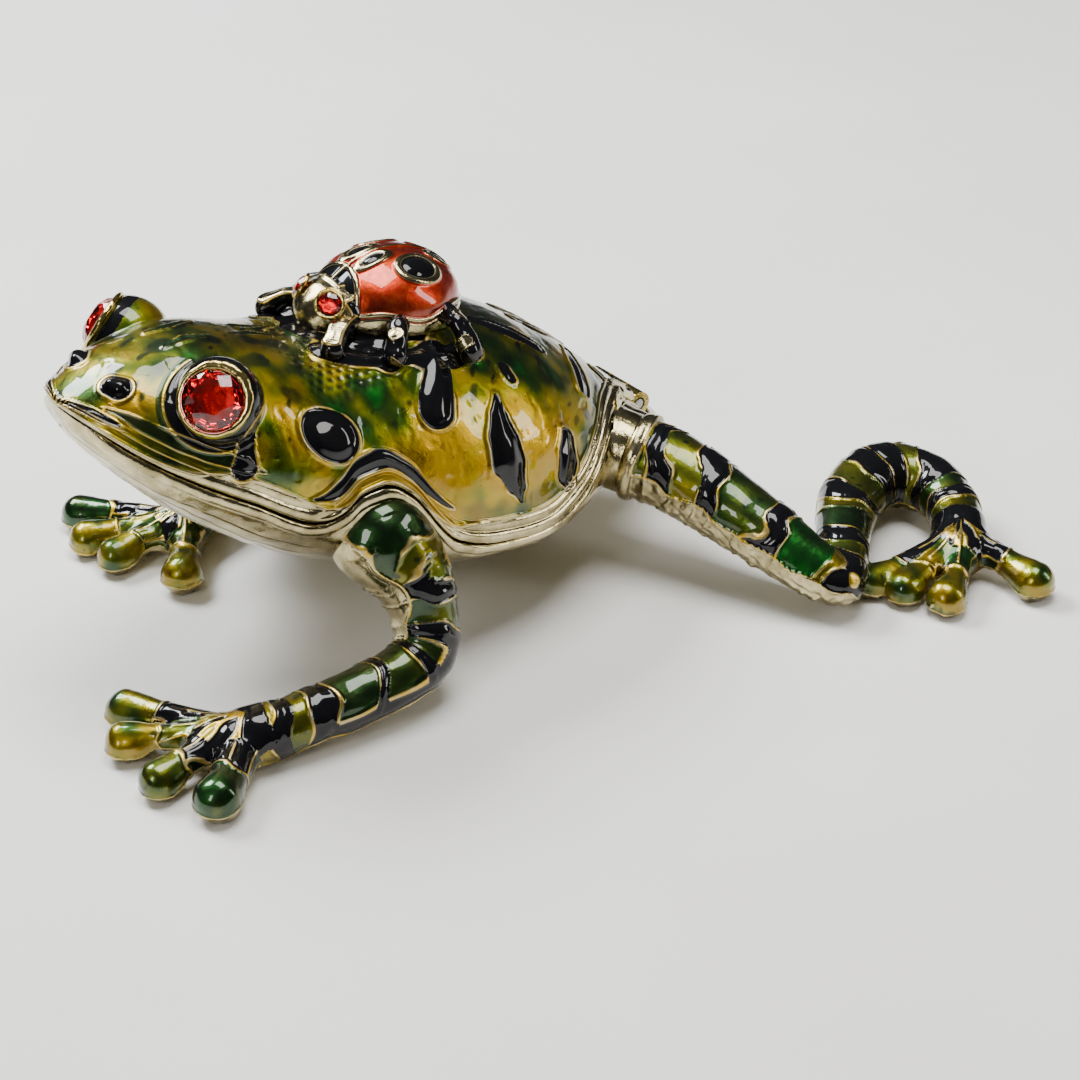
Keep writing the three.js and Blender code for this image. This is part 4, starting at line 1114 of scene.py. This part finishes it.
def cell_enamel(name, stops, hue_field=True):
    """Translucent enamel over bright cast metal, black enamel cells, gold outlines and bare metal."""
    n = Nodes(name)
    black = n.above(n.field("black"), -0.02, 0.04)
    metal = n.above(n.field("metal"), -0.03, 0.03)
    line = n.above(n.field("line"), 0.13, 0.05)
    cloud = n.noise(3.0, 4.0, 0.6)
    fine = n.noise(0.55, 3.0, 0.6)
    if hue_field:
        hue = n.above(n.field("green"), -0.5, 1.5)
        hue = n.math("ADD", hue, n.math("MULTIPLY", n.math("SUBTRACT", cloud, 0.5), 0.30))
    else:
        hue = n.math("ADD", n.math("MULTIPLY", fine, 0.7), n.math("MULTIPLY", cloud, 0.35))
    colour = n.ramp(hue, stops)
    pits = n.above(n.noise(0.8, 2.0, 0.5), 0.66, 0.74)
    shade = n.math("MAXIMUM", n.field("dark"), n.math("MULTIPLY", pits, 0.55))
    shade = n.math("MAXIMUM", shade, n.math("MULTIPLY", n.field("scale"), 0.85))
    colour = n.mix(shade, colour, DARK_ENAMEL)
    deep = n.above(n.field("deep"), -0.03, 0.04)
    colour = n.mix(n.math("MULTIPLY", deep, 0.92), colour, DEEP_ENAMEL)
    gold = n.ramp(n.noise(1.2, 3.0, 0.6), [(0.35, DEEP_GOLD), (0.7, PALE_GOLD)])
    colour = n.mix(black, colour, BLACK_ENAMEL)
    colour = n.mix(line, colour, gold)
    tone = n.ramp(n.noise(2.2, 5.0, 0.65), [(0.38, SHADED_GOLD), (0.60, PALE_GOLD)])
    tone = n.mix(n.field("tarnish"), tone, TARNISH)
    tone = n.mix(n.field("lining"), tone, LINING)
    colour = n.mix(metal, colour, tone)
    bare = n.math("MAXIMUM", metal, line)
    metallic = n.math("MAXIMUM", n.math("SUBTRACT", 0.93, black), bare, clamp=True)
    rough_metal = n.above(n.noise(0.9, 4.0, 0.7), 0.3, 0.8, 0.10, 0.27)
    rough = n.mix(metal, n.above(cloud, 0.3, 0.7, 0.26, 0.42), rough_metal, "FLOAT")
    height = n.math("ADD", n.math("MULTIPLY", n.noise(0.5, 4.0, 0.7), 0.6), n.noise(1.6, 2.0, 0.5))
    normal = n.bump(height, 0.10, 0.55)
    coat = n.math("SUBTRACT", 1.0, n.math("MULTIPLY", bare, 0.85))
    ripple = n.bump(n.noise(2.8, 1.0, 0.4), 0.12, 0.35)
    sheen = n.math("SUBTRACT", 0.5, n.math("MULTIPLY", black, 0.48))
    return n.out(Base_Color=colour, Metallic=metallic, Roughness=rough, Normal=normal, Coat_Weight=coat,
                 Coat_Roughness=0.03, Coat_IOR=1.45, Coat_Normal=ripple, Specular_IOR_Level=sheen)


def bare_metal(name, low, high, rough_low, rough_high):
    n = Nodes(name)
    colour = n.ramp(n.noise(2.2, 5.0, 0.65), [(0.35, low), (0.65, high)])
    rough = n.above(n.noise(0.9, 4.0, 0.7), 0.3, 0.8, rough_low, rough_high)
    normal = n.bump(n.noise(0.7, 4.0, 0.65), 0.06, 0.7)
    return n.out(Base_Color=colour, Metallic=1.0, Roughness=rough, Normal=normal)


def ruby(name):
    n = Nodes(name)
    colour = n.ramp(n.noise(1.5, 1.0), [(0.3, (0.80, 0.006, 0.020)), (0.7, (1.0, 0.020, 0.040))])
    return n.out(Base_Color=colour, Roughness=0.0, IOR=1.62, Transmission_Weight=1.0)


def finish_piece(piece, body, material, slot, *nodes):
    piece.data.materials.append(material)
    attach(piece, body)
    if nodes:
        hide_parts(*nodes)


def mounted_gem(kind, side, seat, facing, radius, node, ring_seat, *ring):
    """Crystal with the foil behind it and the gold bezel round it."""
    stone = gem(f"{kind}_gem_{side}", seat, facing, radius)
    finish_piece(stone, "lid", ruby_glass, "ruby_crystal", node + side)
    finish_piece(foil_cup(f"{kind}_foil_{side}", seat, facing, radius), "lid", foil, None)
    finish_piece(bezel(f"{kind}_bezel_{side}", ring_seat, facing, *ring), "lid", ring_gold, None)


enamel_body = cell_enamel("enamel body", GREENS)
enamel_leg = cell_enamel("enamel leg", GREENS)
enamel_red = cell_enamel("enamel red", REDS, hue_field=False)
cast_gold = cell_enamel("cast gold", GREENS)
ring_gold = bare_metal("ring gold", (0.50, 0.36, 0.08), (0.80, 0.64, 0.24), 0.10, 0.24)
steel = bare_metal("steel", (0.42, 0.42, 0.43), (0.62, 0.62, 0.63), 0.18, 0.34)
nickel = bare_metal("nickel", (0.55, 0.54, 0.52), (0.75, 0.74, 0.71), 0.10, 0.22)
foil = bare_metal("foil", (0.80, 0.10, 0.12), (0.98, 0.35, 0.38), 0.04, 0.10)
ruby_glass = ruby("ruby crystal")

# ---------- build ----------
xs, outer, fields = lid_outer()
lid = shell("lid_casting", xs, outer, fields, lid_edge_z, lid=True)
finish_piece(lid, "lid", enamel_body, "enamel_olive", "lid_shell")
xs, outer, fields = base_outer()
base = shell("base_casting", xs, outer, fields, base_edge_z, lid=False)
finish_piece(base, "base", cast_gold, "gold_metal", "base_tray")

leg_piece("front_leg_left", FRONT_LEFT, FRONT_LEFT_CELLS, ["ko", "oa", "ko", "kd"], front_left_metal, 101,
          low_panel=LOW_PANEL)
leg_piece("front_leg_right", FRONT_RIGHT, FRONT_RIGHT_CELLS, ["kd", "oa", "oa", "oa"], plain_metal, 201,
          low_panel=LOW_PANEL)
leg_piece("hind_leg_left", HIND_LEFT, HIND_LEFT_CELLS, ["ka", "ga", "aa", "ko"], hind_left_metal, 301)
leg_piece("hind_leg_right", HIND_RIGHT, HIND_RIGHT_CELLS, ["ka", "ga", "aa", "ko"], plain_metal, 401)
for build in (build_wings, build_bug_head, build_bug_legs):
    finish_piece(build(), "lid", enamel_red, "enamel_red", "ladybird")

for side, hand in (("left", -1), ("right", 1)):
    centre, facing = eye_frame(hand)
    seat = centre + facing * EYE_SEAT
    mounted_gem("eye", side, seat, facing, EYE_GEM, "eye_crystal_", seat - facing * 0.1, *EYE_BEZEL)
    facing = unit(BUG_EYE_FACING * MIRROR[hand])
    seat = BUG_EYE * MIRROR[hand] + facing * BUG_EYE_SEAT
    mounted_gem("ladybird", side, seat, facing, BUG_EYE_RADIUS, "ladybird_eye_", seat, *BUG_BEZEL)

for node, material in (("hinge_knuckle_base_left", ring_gold), ("hinge_knuckle_lid", ring_gold),
                       ("hinge_knuckle_base_right", ring_gold), ("hinge_pin", steel), ("magnet_lid", nickel),
                       ("magnet_base", nickel)):
    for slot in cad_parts[node].material_slots:
        slot.material = material

# ---------- floor, lights and camera ----------
FLOOR_HALF = 2.0        # metres
floor_mesh = bpy.data.meshes.new("floor")
floor_mesh.from_pydata([(x * FLOOR_HALF, y * FLOOR_HALF, 0) for x, y in ((-1, -1), (1, -1), (1, 1), (-1, 1))],
                       [], [(0, 1, 2, 3)])
floor = bpy.data.objects.new("floor", floor_mesh)
bpy.context.scene.collection.objects.link(floor)
n = Nodes("floor")
paper = n.ramp(n.noise(40.0, 4.0), [(0.3, (0.80, 0.785, 0.755)), (0.7, (0.85, 0.84, 0.815))])
floor_mesh.materials.append(n.out(Base_Color=paper, Roughness=0.75))


def in_scene(place_mm):
    return Vector((np.array(place_mm) + ORIGIN) * MM)


def aimed(thing, place_mm, target_mm):
    bpy.context.scene.collection.objects.link(thing)
    thing.location = in_scene(place_mm)
    thing.rotation_euler = (in_scene(target_mm) - thing.location).to_track_quat("-Z", "Y").to_euler()


def area_light(name, place_mm, target_mm, size_mm, power, colour):
    light = bpy.data.lights.new(name, "AREA")
    light.shape = "RECTANGLE"
    light.size, light.size_y = size_mm[0] * MM, size_mm[1] * MM
    light.energy = power
    light.color = colour
    aimed(bpy.data.objects.new(name, light), place_mm, target_mm)


area_light("window", (-40, 230, 270), (15, 0, 8), (170, 120), 2.1, (0.95, 0.98, 1.0))
area_light("overhead", (60, 10, 330), (20, 0, 0), (210, 150), 1.3, (1.0, 0.99, 0.97))
area_light("front_left", (-240, -90, 170), (15, -5, 8), (60, 100), 0.22, (1.0, 0.98, 0.94))
area_light("right_strip", (210, -170, 110), (30, -12, 5), (40, 150), 0.20, (1.0, 0.97, 0.92))

SKY_LOW, SKY_HIGH, SKY_STRENGTH = (0.05, 0.048, 0.045, 1), (0.30, 0.32, 0.35, 1), 0.4
world = bpy.data.worlds.new("studio")
bpy.context.scene.world = world
world.use_nodes = True
tree = world.node_tree
place = tree.nodes.new("ShaderNodeTexCoord")
split = tree.nodes.new("ShaderNodeSeparateXYZ")
tree.links.new(place.outputs["Generated"], split.inputs[0])
sky = tree.nodes.new("ShaderNodeValToRGB")
tree.links.new(split.outputs["Z"], sky.inputs["Fac"])
sky.color_ramp.elements[0].color = SKY_LOW
sky.color_ramp.elements[1].color = SKY_HIGH
tree.links.new(sky.outputs["Color"], tree.nodes["Background"].inputs["Color"])
tree.nodes["Background"].inputs["Strength"].default_value = SKY_STRENGTH

CAMERA_PLACE, CAMERA_TARGET = (-84.53, -151.55, 114.73), (31.746, -2.942, 0.0)
camera_data = bpy.data.cameras.new("camera")
camera_data.sensor_width = 36
camera_data.lens = 88.33
camera = bpy.data.objects.new("camera", camera_data)
aimed(camera, CAMERA_PLACE, CAMERA_TARGET)
bpy.context.scene.camera = camera
